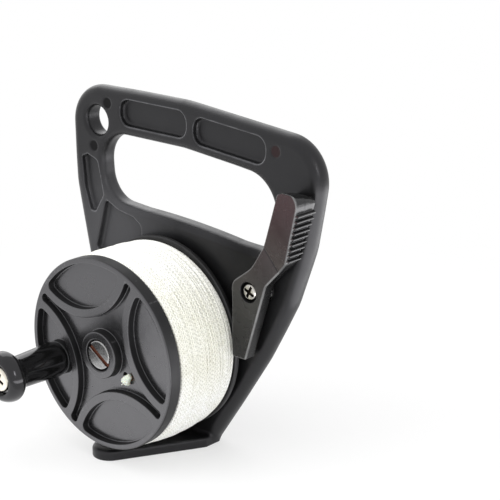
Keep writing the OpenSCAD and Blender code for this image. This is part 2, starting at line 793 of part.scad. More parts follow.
module brake_lever() {
    color("#202124")
        difference() {
            union() {
                translate([pivot_x, 0, pivot_z])
                    slab(y_lever, y_lever_back)
                        polygon(rounded(lever_outline));
                thumb_pad();
                for (i = [0 : rib_count - 1])
                    let (p = rib_low + (rib_high - rib_low) * i / (rib_count - 1))
                        rod(pivot_x + p.x, pivot_z + p.y, rib_r, pad_front(p) + rib_set_back,
                            y_pad_back);
                rod(pivot_x + peg.x, pivot_z + peg.y, peg_r, y_lever_back - cut, -play);
            }
            rod(pivot_x, pivot_z, pivot_sleeve_r + fit_gap, y_lever - cut, y_lever_back + cut);
            rod(pivot_x, pivot_z, pivot_head_bore_r, y_lever - cut, y_pivot_head + play);
            translate([pivot_x, y_lever - pad_rise, pivot_z + pad_top])
                rotate([-pad_fall, 0, 0])
                    translate([0, -cut, 0])
                        cube([arm_l + pad_tip.x, pad_top, arm_l]);
        }
}

module pivot_sleeve() {
    color("#b08d4a")
        pipe(pivot_x, pivot_z, pivot_thread_r + fit_gap, pivot_sleeve_r, y_pivot_head, -pivot_boss_rise);
}

module lever_washer() {
    color("#e6e3d8")
        pipe(pivot_x, pivot_z, pivot_sleeve_r + fit_gap, pivot_boss_r, -pivot_boss_rise - lever_washer_t,
             -pivot_boss_rise);
}

module brake_spring() {
    steps = 16;
    first = 270;
    path = helix(pivot_x, pivot_z, spring_r, first, y_spring_high, y_spring_low, spring_turns, steps,
                 spring_leg);
    echo(least_gap_of_the_spring = least_gap(path, steps, spring_wire));
    color("#9a9da1")
        tube(path, spring_wire / 2, 8);
}

module pivot_screw() {
    color("#c9cbce")
        cross_screw(pivot_x, pivot_z, pivot_head_r, pivot_head_t, pivot_thread_r, y_pivot_head,
                    plate_t - play);
}

module pivot_nut() {
    y_seat = plate_t - pivot_nut_depth;
    color("#b9bbbe")
        hex_nut(pivot_x, pivot_z, pivot_nut_w, pivot_thread_r + fit_gap, y_seat, y_seat + pivot_nut_h);
}

frame();
axle_bolt();
axle_sleeve();
head_washer();
thrust_washer();
rear_washer();
axle_nut();
front_flange();
spool_drum();
rear_flange();
front_bush();
rear_bush();
line_core();
line_layer();
line_knot();
crank_spindle();
crank_knob();
knob_washer();
knob_screw();
brake_lever();
pivot_sleeve();
lever_washer();
brake_spring();
pivot_screw();
pivot_nut();
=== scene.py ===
import math

import bpy
import numpy as np
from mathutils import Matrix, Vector


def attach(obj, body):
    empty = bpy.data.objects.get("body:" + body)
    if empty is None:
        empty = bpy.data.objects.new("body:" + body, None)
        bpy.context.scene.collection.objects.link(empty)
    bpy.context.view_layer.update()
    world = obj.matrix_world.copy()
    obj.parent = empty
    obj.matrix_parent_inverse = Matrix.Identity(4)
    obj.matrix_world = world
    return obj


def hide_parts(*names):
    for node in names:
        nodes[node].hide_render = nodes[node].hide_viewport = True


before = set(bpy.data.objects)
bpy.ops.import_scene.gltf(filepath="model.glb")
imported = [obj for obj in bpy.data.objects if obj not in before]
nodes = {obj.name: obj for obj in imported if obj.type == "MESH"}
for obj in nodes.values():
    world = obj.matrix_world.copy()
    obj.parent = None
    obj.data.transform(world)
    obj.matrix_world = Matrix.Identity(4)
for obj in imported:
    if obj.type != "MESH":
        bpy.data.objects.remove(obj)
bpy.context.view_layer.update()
scene = bpy.context.scene

# Sizes are in millimetres in the part's own frame, and turns in degrees. Light and floor are in metres
MM = 0.001
AXLE_Z = 52.5
AXLE = (0.0, AXLE_Z)
PLATE_T = 10.0
PIVOT = (55.6, 85.0)
CRANK = (-28.802, 43.419)
KNOT = (12.817, 45.1)

# Faces of the spool: both ends of the winding, the front flange's floor and rim, and the hub
Y_REAR = -5.1
Y_FRONT = -39.8
Y_WEB = -42.6
Y_FACE = -46.0
Y_HUB = -47.0

# Roundings of small edges
TIGHT = 0.1
FINE = 0.12
SMALL = 0.3
SOFT = 0.4


# Distance fields and meshes

FAR = 1e9
TINY = 1e-12


def axes(lo, hi, step):
    """Coordinates of a grid from lo to hi, ready to broadcast."""
    ticks = []
    for a, b in zip(lo, hi):
        count = int(math.ceil((b - a) / step)) + 1
        ticks.append(a + step * np.arange(count, dtype=np.float32))
    return ticks[0][:, None, None], ticks[1][None, :, None], ticks[2][None, None, :]


def meet(a, b, r):
    """Both fields at once, with a rounded edge of radius r."""
    return np.minimum(np.maximum(a, b), -r) + np.hypot(np.maximum(a + r, 0), np.maximum(b + r, 0))


def cut(a, b, r):
    """Field a without field b, with a rounded edge."""
    return meet(a, -b, r)


def join(a, b, r):
    """Either field, with a fillet of radius r between them."""
    return np.maximum(np.minimum(a, b), r) - np.hypot(np.maximum(r - a, 0), np.maximum(r - b, 0))


def hull_field(u, v, discs):
    """Distance to the convex hull of discs given as (u, v, radius), from its tangent at every degree."""
    discs = np.array(discs, np.float32)
    field = np.full(np.broadcast_shapes(u.shape, v.shape), -FAR, np.float32)
    for turn in np.radians(np.arange(360)):
        c, s = np.float32(math.cos(turn)), np.float32(math.sin(turn))
        reach = np.max(discs[:, 0] * c + discs[:, 1] * s + discs[:, 2])
        np.maximum(field, u * c + v * s - reach, out=field)
    return field


def outline_field(u, v, points):
    """Distance to a closed outline, negative inside."""
    shape = np.broadcast_shapes(u.shape, v.shape)
    best = np.full(shape, FAR, np.float32)
    odd = np.zeros(shape, bool)
    points = [(np.float32(p[0]), np.float32(p[1])) for p in points]
    for (au, av), (bu, bv) in zip(points, points[1:] + points[:1]):
        eu, ev = bu - au, bv - av
        length = eu * eu + ev * ev
        if length < TINY:
            continue
        t = np.clip(((u - au) * eu + (v - av) * ev) / length, 0, 1)
        best = np.minimum(best, (u - au - t * eu) ** 2 + (v - av - t * ev) ** 2)
        if ev != 0:
            odd ^= ((av > v) != (bv > v)) & (u < eu * (v - av) / ev + au)
    return np.where(odd, -1, 1).astype(np.float32) * np.sqrt(best)


def cos_sin(turn):
    """Cosine and sine of a turn in degrees."""
    turn = math.radians(turn)
    return math.cos(turn), math.sin(turn)


def arc(c, r, a0, a1, steps):
    """Points on an arc about c, angles in degrees."""
    turns = np.radians(np.linspace(a0, a1, steps + 1))
    return [(c[0] + r * math.cos(t), c[1] + r * math.sin(t)) for t in turns]


def rounded(points, steps=8):
    """Closed outline through points given as (u, v, corner radius)."""
    out = []
    for i, b in enumerate(points):
        a, c = points[i - 1], points[(i + 1) % len(points)]
        b2 = Vector(b[:2])
        to_a = (Vector(a[:2]) - b2).normalized()
        to_c = (Vector(c[:2]) - b2).normalized()
        half = to_a.angle(to_c) / 2
        mid = b2 + (to_a + to_c).normalized() * b[2] / math.sin(half)
        start = b2 + to_a * b[2] / math.tan(half) - mid
        end = b2 + to_c * b[2] / math.tan(half) - mid
        a0 = math.degrees(math.atan2(start.y, start.x))
        turn = math.degrees(math.atan2(start.x * end.y - start.y * end.x, start.dot(end)))
        out += arc(mid, b[2], a0, a0 + turn, steps)
    return out


CORNERS = [(i, j, k) for i in (0, 1) for j in (0, 1) for k in (0, 1)]
EDGES = [(a, b) for a in range(8) for b in range(a + 1, 8)
         if sum(abs(p - q) for p, q in zip(CORNERS[a], CORNERS[b])) == 1]


def surface(field, lo, step):
    """Quads of the zero level of a field: one point in each cell that it crosses."""
    inside = field < 0
    nx, ny, nz = field.shape
    count = np.zeros((nx - 1, ny - 1, nz - 1), np.int8)
    for i, j, k in CORNERS:
        count += inside[i:nx - 1 + i, j:ny - 1 + j, k:nz - 1 + k]
    cells = np.argwhere((count > 0) & (count < len(CORNERS)))
    index = np.full(count.shape, -1, np.int32)
    index[tuple(cells.T)] = np.arange(len(cells))
    values = np.stack([field[cells[:, 0] + i, cells[:, 1] + j, cells[:, 2] + k] for i, j, k in CORNERS], 1)
    total = np.zeros((len(cells), 3))
    weight = np.zeros(len(cells))
    for a, b in EDGES:
        crossing = (values[:, a] < 0) != (values[:, b] < 0)
        va, vb = values[crossing, a], values[crossing, b]
        start, end = np.array(CORNERS[a], float), np.array(CORNERS[b], float)
        total[crossing] += start + (va / (va - vb))[:, None] * (end - start)
        weight[crossing] += 1
    points = np.array(lo) + step * (cells + total / weight[:, None])
    quads = [crossing_quads(inside, index, axis) for axis in range(3)]
    return points, np.concatenate(quads)


def crossing_quads(inside, index, axis):
    """One quad for each grid edge along an axis that leaves or enters the solid."""
    b, c = (axis + 1) % 3, (axis + 2) % 3
    cuts = [slice(1, -1)] * 3
    cuts[axis] = slice(None, -1)
    near = inside[tuple(cuts)]
    cuts[axis] = slice(1, None)
    change = near != inside[tuple(cuts)]
    at = np.argwhere(change)
    at[:, b] += 1
    at[:, c] += 1
    ring = []
    for db, dc in ((-1, -1), (0, -1), (0, 0), (-1, 0)):
        cell = at.copy()
        cell[:, b] += db
        cell[:, c] += dc
        ring.append(index[tuple(cell.T)])
    ring = np.stack(ring, 1)
    leaving = near[change]
    ring[~leaving] = ring[~leaving][:, ::-1]
    return ring


def lathe(profile, centre, steps):
    """Quads of a closed profile of (radius, y) turned about a Y axis at centre."""
    profile = np.array(profile, float)
    turns = np.linspace(0, 2 * math.pi, steps, endpoint=False)
    n = len(profile)
    points = np.empty((steps, n, 3))
    points[:, :, 0] = centre[0] + profile[None, :, 0] * np.cos(turns)[:, None]
    points[:, :, 1] = profile[None, :, 1]
    points[:, :, 2] = centre[1] + profile[None, :, 0] * np.sin(turns)[:, None]
    i, j = np.meshgrid(np.arange(steps), np.arange(n), indexing="ij")
    i2, j2 = (i + 1) % steps, (j + 1) % n
    quads = np.stack([i * n + j, i2 * n + j, i2 * n + j2, i * n + j2], -1).reshape(-1, 4)
    area = np.sum(profile[:, 0] * np.roll(profile[:, 1], -1) - np.roll(profile[:, 0], -1) * profile[:, 1])
    if area > 0:
        quads = quads[:, ::-1]
    return points.reshape(-1, 3), quads


def merge(*shells):
    """Several shells as one mesh."""
    points, quads, start = [], [], 0
    for p, q in shells:
        points.append(p)
        quads.append(q + start)
        start += len(p)
    return np.concatenate(points), np.concatenate(quads)


def thinned(obj, mesh, keep):
    """The object's mesh with only a share of its faces."""
    thin = obj.modifiers.new("thin", "DECIMATE")
    thin.ratio = keep
    graph = bpy.context.evaluated_depsgraph_get()
    slim = bpy.data.meshes.new_from_object(obj.evaluated_get(graph))
    obj.modifiers.clear()
    obj.data = slim
    name = mesh.name
    bpy.data.meshes.remove(mesh)
    slim.name = name
    return slim


def piece(name, shell, material, body, replaced, keep=1.0):
    """Object from a shell of points and quads, riding on a body in place of CAD nodes."""
    points, quads = shell
    mesh = bpy.data.meshes.new(name)
    mesh.vertices.add(len(points))
    mesh.vertices.foreach_set("co", (np.asarray(points) * MM).astype(np.float32).ravel())
    mesh.loops.add(quads.size)
    mesh.loops.foreach_set("vertex_index", quads.astype(np.int32).ravel())
    mesh.polygons.add(len(quads))
    mesh.polygons.foreach_set("loop_start", np.arange(0, quads.size, 4, dtype=np.int32))
    mesh.update(calc_edges=True)
    mesh.validate()
    obj = bpy.data.objects.new(name, mesh)
    scene.collection.objects.link(obj)
    if keep < 1:
        mesh = thinned(obj, mesh, keep)
    mesh.polygons.foreach_set("use_smooth", np.ones(len(mesh.polygons), bool))
    mesh.materials.clear()
    mesh.materials.append(material)
    weigh = obj.modifiers.new("normals", "WEIGHTED_NORMAL")
    weigh.weight = 80
    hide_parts(*replaced)
    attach(obj, body)
    return obj


# Painted edge highlights, kept as a share at each point of a mesh

LIP_GAIN = 1.3


def places(mesh):
    """Coordinates of a mesh's points in millimetres."""
    points = np.empty(len(mesh.vertices) * 3, np.float32)
    mesh.vertices.foreach_get("co", points)
    return points.reshape(-1, 3).T / MM


def keep_lip(mesh, lip):
    """Attribute that the plastics read as the share of painted edge highlight."""
    values = np.clip(LIP_GAIN * lip, 0, 1).astype(np.float32)
    mesh.attributes.new("lip", "FLOAT", "POINT").data.foreach_set("value", values)


# Materials

WHITE = (1, 1, 1)
# Specular level that leaves the gloss as the index of refraction gives it
FULL_SHINE = 0.5
# Sockets of the Mix node by kind of value: both inputs and the output
MIX_SOCKETS = {"RGBA": (6, 7, 2), "FLOAT": (2, 3, 0)}


class Nodes:
    """Short hand for a material's node tree."""

    def __init__(self, name):
        self.material = bpy.data.materials.new(name)
        self.material.use_nodes = True
        self.tree = self.material.node_tree
        self.shader = self.tree.nodes["Principled BSDF"]
        self.coords = self.tree.nodes.new("ShaderNodeTexCoord").outputs["Object"]

    def add(self, kind, inputs=None, **settings):
        """New node with its settings made and its inputs fed."""
        node = self.tree.nodes.new(kind)
        for key, value in settings.items():
            setattr(node, key, value)
        for key, value in (inputs or {}).items():
            self.feed(node.inputs[key], value)
        return node

    def feed(self, socket, value):
        """Set a socket to a number or a colour, or link another socket to it."""
        if isinstance(value, (int, float)):
            socket.default_value = value
        elif isinstance(value, tuple):
            socket.default_value = (*value, 1)
        else:
            self.tree.links.new(value, socket)

    def shade(self, name, value):
        """Feed an input of the surface's shader."""
        self.feed(self.shader.inputs[name], value)

    def noise(self, scale, detail, roughness=0.55):
        inputs = {"Vector": self.coords, "Scale": scale, "Detail": detail, "Roughness": roughness}
        return self.add("ShaderNodeTexNoise", inputs).outputs["Fac"]

    def ramp(self, fac, *stops):
        """Colour ramp through stops given as (place, colour)."""
        node = self.add("ShaderNodeValToRGB", {"Fac": fac})
        elements = node.color_ramp.elements
        while len(elements) < len(stops):
            elements.new(0.5)
        for element, (place, colour) in zip(elements, stops):
            element.position = place
            element.color = (*colour, 1)
        return node.outputs["Color"]

    def span(self, fac, lo, hi, a, b):
        """Map lo to hi onto a to b, and no further."""
        inputs = {"Value": fac, "From Min": lo, "From Max": hi, "To Min": a, "To Max": b}
        return self.add("ShaderNodeMapRange", inputs).outputs["Result"]

    def mix(self, fac, a, b, blend="MIX", kind="RGBA"):
        first, second, out = MIX_SOCKETS[kind]
        inputs = {"Factor": fac, first: a, second: b}
        return self.add("ShaderNodeMix", inputs, data_type=kind, blend_type=blend).outputs[out]

    def times(self, a, b):
        """Product of two colours."""
        return self.mix(1.0, a, b, "MULTIPLY")

    def calc(self, operation, *values):
        return self.add("ShaderNodeMath", dict(enumerate(values)), operation=operation).outputs["Value"]

    def bump(self, height, strength, distance, normal=None):
        inputs = {"Height": height, "Strength": strength, "Distance": distance}
        if normal is not None:
            inputs["Normal"] = normal
        return self.add("ShaderNodeBump", inputs).outputs["Normal"]

    def axis(self, vector, name):
        """One coordinate of a vector."""
        return self.add("ShaderNodeSeparateXYZ", {"Vector": vector}).outputs[name]

    def facing(self):
        """Y of the surface's normal, which is -1 where it looks to the front."""
        return self.axis(self.add("ShaderNodeNewGeometry").outputs["Normal"], "Y")

    def away(self, place):
        """Distance from a place given in millimetres."""
        node = self.add("ShaderNodeVectorMath", {0: self.coords}, operation="DISTANCE")
        node.inputs[1].default_value = [c * MM for c in place]
        return node.outputs["Value"]


def grey(level, tint=WHITE):
    """Linear colour from an sRGB level of 0 to 255."""
    v = level / 255
    v = v / 12.92 if v <= 0.04045 else ((v + 0.055) / 1.055) ** 2.4
    return tuple(v * t for t in tint)


def painted_height_light(m, colour, low, high, stops, dull_height):
    """Painted light: the front brightened and tinted by its height; painted shade: sides that lose their
    shine below a height.
    """
    height = m.axis(m.coords, "Z")
    front = m.span(m.facing(), -0.93, -0.8, 1.0, 0.0)
    tinted = m.times(colour, m.ramp(m.span(height, low * MM, high * MM, 0.0, 1.0), *stops))
    fade = 6
    sides = m.span(height, dull_height * MM, (dull_height + fade) * MM, 0.2, FULL_SHINE)
    return m.mix(front, colour, tinted), m.mix(front, sides, FULL_SHINE, kind="FLOAT")


def spotted(m, colour, shine, place, inner, outer, patch_colour, dull):
    """Round patch of colour about a place, with less shine in it, used for painted light, painted shade and
    darkened marks.
    """
    away = m.away(place)
    colour = m.mix(m.span(away, inner * MM, outer * MM, 1.0, 0.0), colour, patch_colour)
    if dull < FULL_SHINE:
        level = m.span(away, inner * MM, outer * MM, dull, FULL_SHINE)
        shine = level if shine is None else m.calc("MINIMUM", shine, level)
    return colour, shine


def plastic(name, shades, rough, ior, grain, edge_wear_and_highlight, tint=WHITE, walls=None, height_light=None, spots=(),
            edge_highlight=None):
    """Moulded plastic: fine grain, slow random tone, paler edges, painted light by height, spots of painted
    light and shade and darkened marks, and walls round a front face dulled as painted shade.

    shades are its dark and light grey, grain is a scale and a strength, wear is the grey of paler edges:
    painted highlights where an attribute gives them, else sharp edges paled by use.
    """
    m = Nodes(name)
    dark, light = shades
    colour = m.ramp(m.noise(38, 4, 0.6), (0.3, grey(dark, tint)), (0.72, grey(light, tint)))
    shine = None
    # Painted light on the front by height, painted shade on the sides below a height
    if height_light is not None:
        colour, shine = painted_height_light(m, colour, *height_light)
    # Spots of painted light, painted shade and darkened marks
    for spot in spots:
        colour, shine = spotted(m, colour, shine, *spot)
    # Paler edges: painted highlights where an attribute gives them, else the mesh's sharp edges paled by use
    if edge_highlight:
        sharp = m.add("ShaderNodeAttribute", attribute_name=edge_highlight).outputs["Fac"]
    else:
        sharp = m.span(m.add("ShaderNodeNewGeometry").outputs["Pointiness"], 0.53, 0.62, 0.0, 1.0)
    patchy = m.ramp(m.noise(160, 3), (0.2, (0.35, 0.35, 0.35)), (0.6, WHITE))
    m.shade("Base Color", m.mix(m.mix(sharp, (0, 0, 0), patchy), colour, grey(edge_wear_and_highlight, tint)))
    haze = m.span(m.noise(110, 3), 0.3, 0.7, rough - 0.05, rough + 0.06)
    # Painted shade: walls turned from the front lose their gloss and grow rougher
    if walls is not None:
        facing = m.facing()
        shine = m.span(facing, -0.9, -0.5, FULL_SHINE, walls)
        haze = m.calc("ADD", haze, m.span(facing, -0.9, -0.5, 0.0, 0.28))
    m.shade("Roughness", haze)
    m.shade("IOR", ior)
    m.shade("Specular Tint", (0.96, 0.95, 1.0))
    if shine is not None:
        m.shade("Specular IOR Level", shine)
    grain_scale, grain_strength = grain
    fine = m.bump(m.noise(grain_scale, 2, 0.5), grain_strength, 0.06 * MM)
    m.shade("Normal", m.bump(m.noise(60, 2), 0.08, 0.6 * MM, fine))
    return m.material


def metal(name, shades, rough, tint=WHITE, spread=(0.06, 0.1), relief=0.12, recess_dirt_and_shade=None):
    """Turned or plated metal with fine tool marks, a little tarnish and a darker colour in a screw's recess.

    The last argument gives the y of the head's face, the depth at which the recess colour is full, and its
    colour: the axle bolt's reddish-brown, and near-black painted shade in the cross recesses.
    """
    m = Nodes(name)
    dark, light = shades
    marks = m.noise(900, 3, 0.6)
    colour = m.ramp(m.noise(240, 4), (0.3, grey(dark, tint)), (0.6, grey(light, tint)))
    if recess_dirt_and_shade is not None:
        y_face, depth, patch_colour = recess_dirt_and_shade
        y = m.axis(m.coords, "Y")
        colour_start, shank_start, shank_plain = 0.2, 2.0, 2.4
        below = m.span(y, (y_face + colour_start) * MM, (y_face + depth) * MM, 0.0, 1.0)
        above = m.span(y, (y_face + shank_start) * MM, (y_face + shank_plain) * MM, 1.0, 0.0)
        colour = m.mix(m.calc("MULTIPLY", below, above), colour, patch_colour)
    m.shade("Base Color", colour)
    m.shade("Metallic", 1.0)
    m.shade("Roughness", m.span(marks, 0.3, 0.7, rough - spread[0], rough + spread[1]))
    m.shade("Normal", m.bump(marks, relief, 0.1 * MM))
    return m.material


def screw_metal(name, shades, rough, recess_dirt_and_shade, tint=WHITE):
    """Smoother plated metal of a screw, with a darker colour in its recess."""
    return metal(name, shades, rough, tint, (0.04, 0.06), 0.03, recess_dirt_and_shade)


def braid(name):
    """Off-white braided line: crossing strands from the cord's own map, with darker gaps and soil."""
    m = Nodes(name)
    uv = m.add("ShaderNodeUVMap", uv_map="braid").outputs["UV"]
    along, around = m.axis(uv, "X"), m.axis(uv, "Y")
    strands_round = 3.0
    # Darker and yellower towards this place on the winding's right side
    dim_place = (44, -26, 68)

    def strand(way):
        turn = m.calc("MULTIPLY_ADD", around, way * strands_round, along)
        wave = m.calc("SINE", m.calc("MULTIPLY", turn, 2 * math.pi))
        return m.span(wave, -1.0, 1.0, 0.0, 1.0)

    height = m.calc("MAXIMUM", strand(1), strand(-1))
    strands = m.ramp(height, (0.25, grey(218, (1, 1, 0.965))), (0.8, grey(253, (1, 1, 0.99))))
    fleck = m.ramp(m.noise(620, 3, 0.7), (0.34, (0.86, 0.86, 0.82)), (0.58, WHITE))
    soil = m.ramp(m.noise(46, 3), (0.35, (0.95, 0.945, 0.91)), (0.65, WHITE))
    near = m.span(m.away(dim_place), 8 * MM, 36 * MM, 0.0, 1.0)
    dimmed = m.ramp(near, (0.0, (0.93, 0.925, 0.87)), (1.0, WHITE))
    m.shade("Base Color", m.times(m.times(strands, fleck), m.times(soil, dimmed)))
    m.shade("Roughness", m.span(m.noise(400, 2), 0.3, 0.7, 0.6, 0.8))
    m.shade("Specular IOR Level", 0.25)
    m.shade("Sheen Weight", 0.15)
    m.shade("Normal", m.bump(height, 0.5, 0.25 * MM))
    return m.material


def melted(name):
    """Line end melted to a waxy off-white bead."""
    m = Nodes(name)
    m.shade("Base Color", m.ramp(m.noise(420, 3), (0.35, grey(196, (1, 0.98, 0.85))),
                                 (0.6, grey(228, (1, 0.98, 0.84)))))
    m.shade("Roughness", m.span(m.noise(500, 2), 0.3, 0.7, 0.35, 0.55))
    m.shade("Subsurface Weight", 0.15)
    m.shade("Normal", m.bump(m.noise(800, 3), 0.3, 0.3 * MM))
    return m.material


def nylon(name):
    """Waxy natural nylon."""
    m = Nodes(name)
    tint = (1, 0.99, 0.95)
    m.shade("Base Color", m.ramp(m.noise(90, 3), (0.3, grey(205, tint)), (0.7, grey(226, tint))))
    m.shade("Roughness", m.span(m.noise(300, 2), 0.3, 0.7, 0.38, 0.5))
    m.shade("Subsurface Weight", 0.1)
    m.shade("Normal", m.bump(m.noise(700, 2), 0.1, 0.1 * MM))
    return m.material


# Frame: plate with its hand opening, pockets, bosses and foot

# Corner discs of the plate and of its hand opening, as x, z and radius
PLATE = [(-46, 142, 19), (6, 141.4, 20), (67.6, 136.1, 20), (43.6, 116.7, 40), (36, 95.6, 40),
         (22.3, 70.4, 40), (21, 5, 5), (-28, 5, 5), (-16.9, 82, 40), (-24.4, 117.7, 40)]
PLATE_EDGE = 4.8
OPENING = [(-29.4, 125, 14.8), (7, 122.4, 17.4), (45.4, 119.1, 17.2), (52, 112, 10.3), (-29.8, 120.9, 14.1)]
OPENING_EDGE = 3.6
# Large disc whose top bows the opening's lower edge
SILL = (-20.9, -373.95, 480)

# Corners of the pockets as x, z and corner radius
SIDE_POCKET = [(-58.4, 125.3, 1.5), (-54.6, 127.2, 1.5), (-47.9, 125, 2), (-46.2, 116.5, 6),
               (-44.2, 109, 1.5), (-50, 99.8, 1.5), (-53.4, 99.8, 1), (-57, 110.7, 8)]
CORNER_POCKET = [(-42.6, 106.8, 1.5), (-34.1, 103, 6), (-24.1, 101.5, 4), (-19.1, 98, 3), (-19.1, 90.5, 3),
                 (-23.6, 81.5, 4), (-50, 81, 1.5)]
# Pockets of the grip bar as centre, width and turn
BAR_POCKETS = [((-10.4, 151), 42, 0), ((36.3, 148.2), 42.5, -4.6)]
BAR_POCKET_H = 12.4
BAR_POCKET_R = BAR_POCKET_H * 0.42
POCKET_FLOOR = 3.0
EJECTORS = [(-39.8, 153.9), (-49.7, 132), (63.5, 148)]
EJECTOR_R = 2.7
EJECTOR_DEPTH = 0.3
LANYARD = (-47.4, 144.5)
LANYARD_R = 7.0
LANYARD_EDGE = 2.2

# Bosses on the front of the plate, bores through it and nut recesses in its back
BOSS_ROOT = 5
AXLE_BOSS_R = 12
AXLE_BOSS_H = 1
AXLE_BORE_R = 4.05
AXLE_RECESS_R = 9.5
AXLE_RECESS_Y = 5.5
AXLE_RECESS_EDGE = 0.5
PIVOT_BOSS_R = 4.6
PIVOT_BOSS_H = 1.2
PIVOT_BORE_R = 2.05
PIVOT_RECESS_R = 5
PIVOT_RECESS_Y = 6
SPRING_R = 6.8
SPRING_DEPTH = 4
SPRING_SLOT_X = -5.25
SPRING_SLOT_W = 2.9
SPRING_SLOT_H = 9.7

# Foot under the spool: corner discs as x, y and radius
FOOT = [(-3.5, -37.5, 8.5), (24.2, -3.2, 0.8), (24.2, 5.2, 0.8), (-31.2, 5.2, 0.8), (-31.2, -3.2, 0.8)]
FOOT_T = 5.0
FOOT_EDGE = 1.5
FOOT_FILLET = 1.6

# Spots of the frame's plastic as place, inner and outer radius, colour and shine: a painted pool of light on
# the left of the plate, a painted shadow beside the lever, and the darkened ejector marks
COOL = (0.98, 0.98, 1.04)
BLACK, RED = (0.002, 0.002, 0.002), (0.014, 0.004, 0.004)
FRAME_SPOTS = [((-38, 0, 90), 10, 44, grey(58, COOL), FULL_SHINE), ((46, 0, 103), 4, 20, BLACK, 0.28)]
FRAME_SPOTS += [((x, 0, z), 2.2, 2.9, patch_colour, dull) for (x, z), (patch_colour, dull)
                in zip(EJECTORS, ((BLACK, 0.16), (BLACK, 0.16), (RED, 0.34)))]


def bar_pockets():
    """Outlines of the grip bar's pockets: turned boxes with round ends."""
    outlines = []
    for (cx, cz), width, turn in BAR_POCKETS:
        c, s = cos_sin(turn)
        box = []
        for a, b in ((-1, -1), (1, -1), (1, 1), (-1, 1)):
            x, z = a * width / 2, b * BAR_POCKET_H / 2
            box.append((cx + x * c - z * s, cz + x * s + z * c, BAR_POCKET_R))
        outlines.append(rounded(box))
    return outlines


def pocketed(field, shape, depth):
    """The field with a pocket cut in it, filleted at its floor and rounded at its lip."""
    fillet, lip = 1.3, 0.8
    return cut(field, meet(shape, depth, fillet), lip)


def plate_field(x, y, z):
    """Field of the plate with its opening, pockets, marks and lanyard hole."""
    flat = hull_field(x, z, PLATE) + PLATE_EDGE
    deep = np.abs(y - PLATE_T / 2) - PLATE_T / 2 + PLATE_EDGE
    within = np.minimum(np.maximum(flat, deep), 0)
    field = np.hypot(np.maximum(flat, 0), np.maximum(deep, 0)) + within - PLATE_EDGE
    opening = np.maximum(hull_field(x, z, OPENING), SILL[2] - np.hypot(x - SILL[0], z - SILL[1]))
    field = cut(field, opening, OPENING_EDGE)
    for outline in bar_pockets():
        shape = outline_field(x, z, outline)
        field = pocketed(field, shape, y - POCKET_FLOOR)
        field = pocketed(field, shape, PLATE_T - POCKET_FLOOR - y)
    for outline in (SIDE_POCKET, CORNER_POCKET):
        field = pocketed(field, outline_field(x, z, rounded(outline)), y - POCKET_FLOOR)
    for mark_x, mark_z in EJECTORS:
        mark = np.hypot(x - mark_x, z - mark_z) - EJECTOR_R
        field = cut(field, np.maximum(mark, y - EJECTOR_DEPTH), TIGHT)
    return cut(field, np.hypot(x - LANYARD[0], z - LANYARD[1]) - LANYARD_R, LANYARD_EDGE)


def bearing_field(field, x, y, z):
    """The plate's field with the bosses, bores and recesses of the axle and the lever's pivot."""
    axle = np.hypot(x, z - AXLE_Z)
    boss = np.maximum(meet(axle - AXLE_BOSS_R, -AXLE_BOSS_H - y, SMALL), y - BOSS_ROOT)
    field = join(field, boss, SOFT)
    pivot = np.hypot(x - PIVOT[0], z - PIVOT[1])
    slot = np.maximum(np.abs(x - PIVOT[0] - SPRING_SLOT_X) - SPRING_SLOT_W / 2,
                      np.abs(z - PIVOT[1] + SPRING_SLOT_H / 2) - SPRING_SLOT_H / 2)
    spring = np.maximum(np.minimum(pivot - SPRING_R, slot), PIVOT_BOSS_R - pivot)
    field = np.maximum(field, -np.maximum(spring, y - SPRING_DEPTH))
    boss = np.maximum(np.maximum(pivot - PIVOT_BOSS_R, -PIVOT_BOSS_H - y), y - BOSS_ROOT)
    field = np.minimum(field, boss)
    field = np.maximum(field, AXLE_BORE_R - axle)
    field = cut(field, np.maximum(axle - AXLE_RECESS_R, AXLE_RECESS_Y - y), AXLE_RECESS_EDGE)
    field = np.maximum(field, PIVOT_BORE_R - pivot)
    return cut(field, np.maximum(pivot - PIVOT_RECESS_R, PIVOT_RECESS_Y - y), SOFT)


def frame_shell():
    """Plate at the back of the grid, joined with the foot at its bottom."""
    step, outside, plate_reach, foot_reach = 0.5, 9.0, -5, 12
    lo, hi = (-66.6, -48.2, -1.6), (89.4, 11.8, 163.4)
    x, y, z = axes(lo, hi, step)
    field = np.full((x.size, y.size, z.size), outside, np.float32)
    back = np.flatnonzero(y.ravel() > plate_reach)
    y_back = y[:, back, :]
    field[:, back, :] = bearing_field(plate_field(x, y_back, z), x, y_back, z)
    low = np.flatnonzero(z.ravel() < foot_reach)
    z_low = z[:, :, low]
    tongue = meet(meet(hull_field(x, y, FOOT), z_low - FOOT_T, FOOT_EDGE), -z_low, SOFT)
    under = join(field[:, :, low], tongue, FOOT_FILLET)
    field[:, :, low] = meet(under, -z_low, SOFT)
    return surface(field, lo, step)


def mark_pocket_lips(mesh):
    """Painted highlights on the rims of the front pockets, most on their right and upper sides."""
    x, y, z = places(mesh)
    rim, half_width, depth = 0.2, 0.55, 0.9
    dx, dz = 0.3, 0.06
    lip = np.zeros(len(x), np.float32)
    for outline in bar_pockets() + [rounded(SIDE_POCKET), rounded(CORNER_POCKET)]:
        near = 1 - np.abs(outline_field(x, z, outline) - rim) / half_width
        side = outline_field(x + dx, z + dz, outline) - outline_field(x - dx, z - dz, outline)
        lip = np.maximum(lip, near * np.clip(0.5 + side, 0.1, 1))
    keep_lip(mesh, lip * (y < depth))


frame_plastic = plastic("frame_plastic", (15, 21), 0.36, 1.43, (2600, 0.35), 120, COOL, spots=FRAME_SPOTS,
                        edge_highlight="lip")
frame_body = piece("frame_body", frame_shell(), frame_plastic, "frame", ["frame"], keep=0.32)
mark_pocket_lips(frame_body.data)


# Front flange: dished disc with a four-armed star of ridges, hub and crank pad

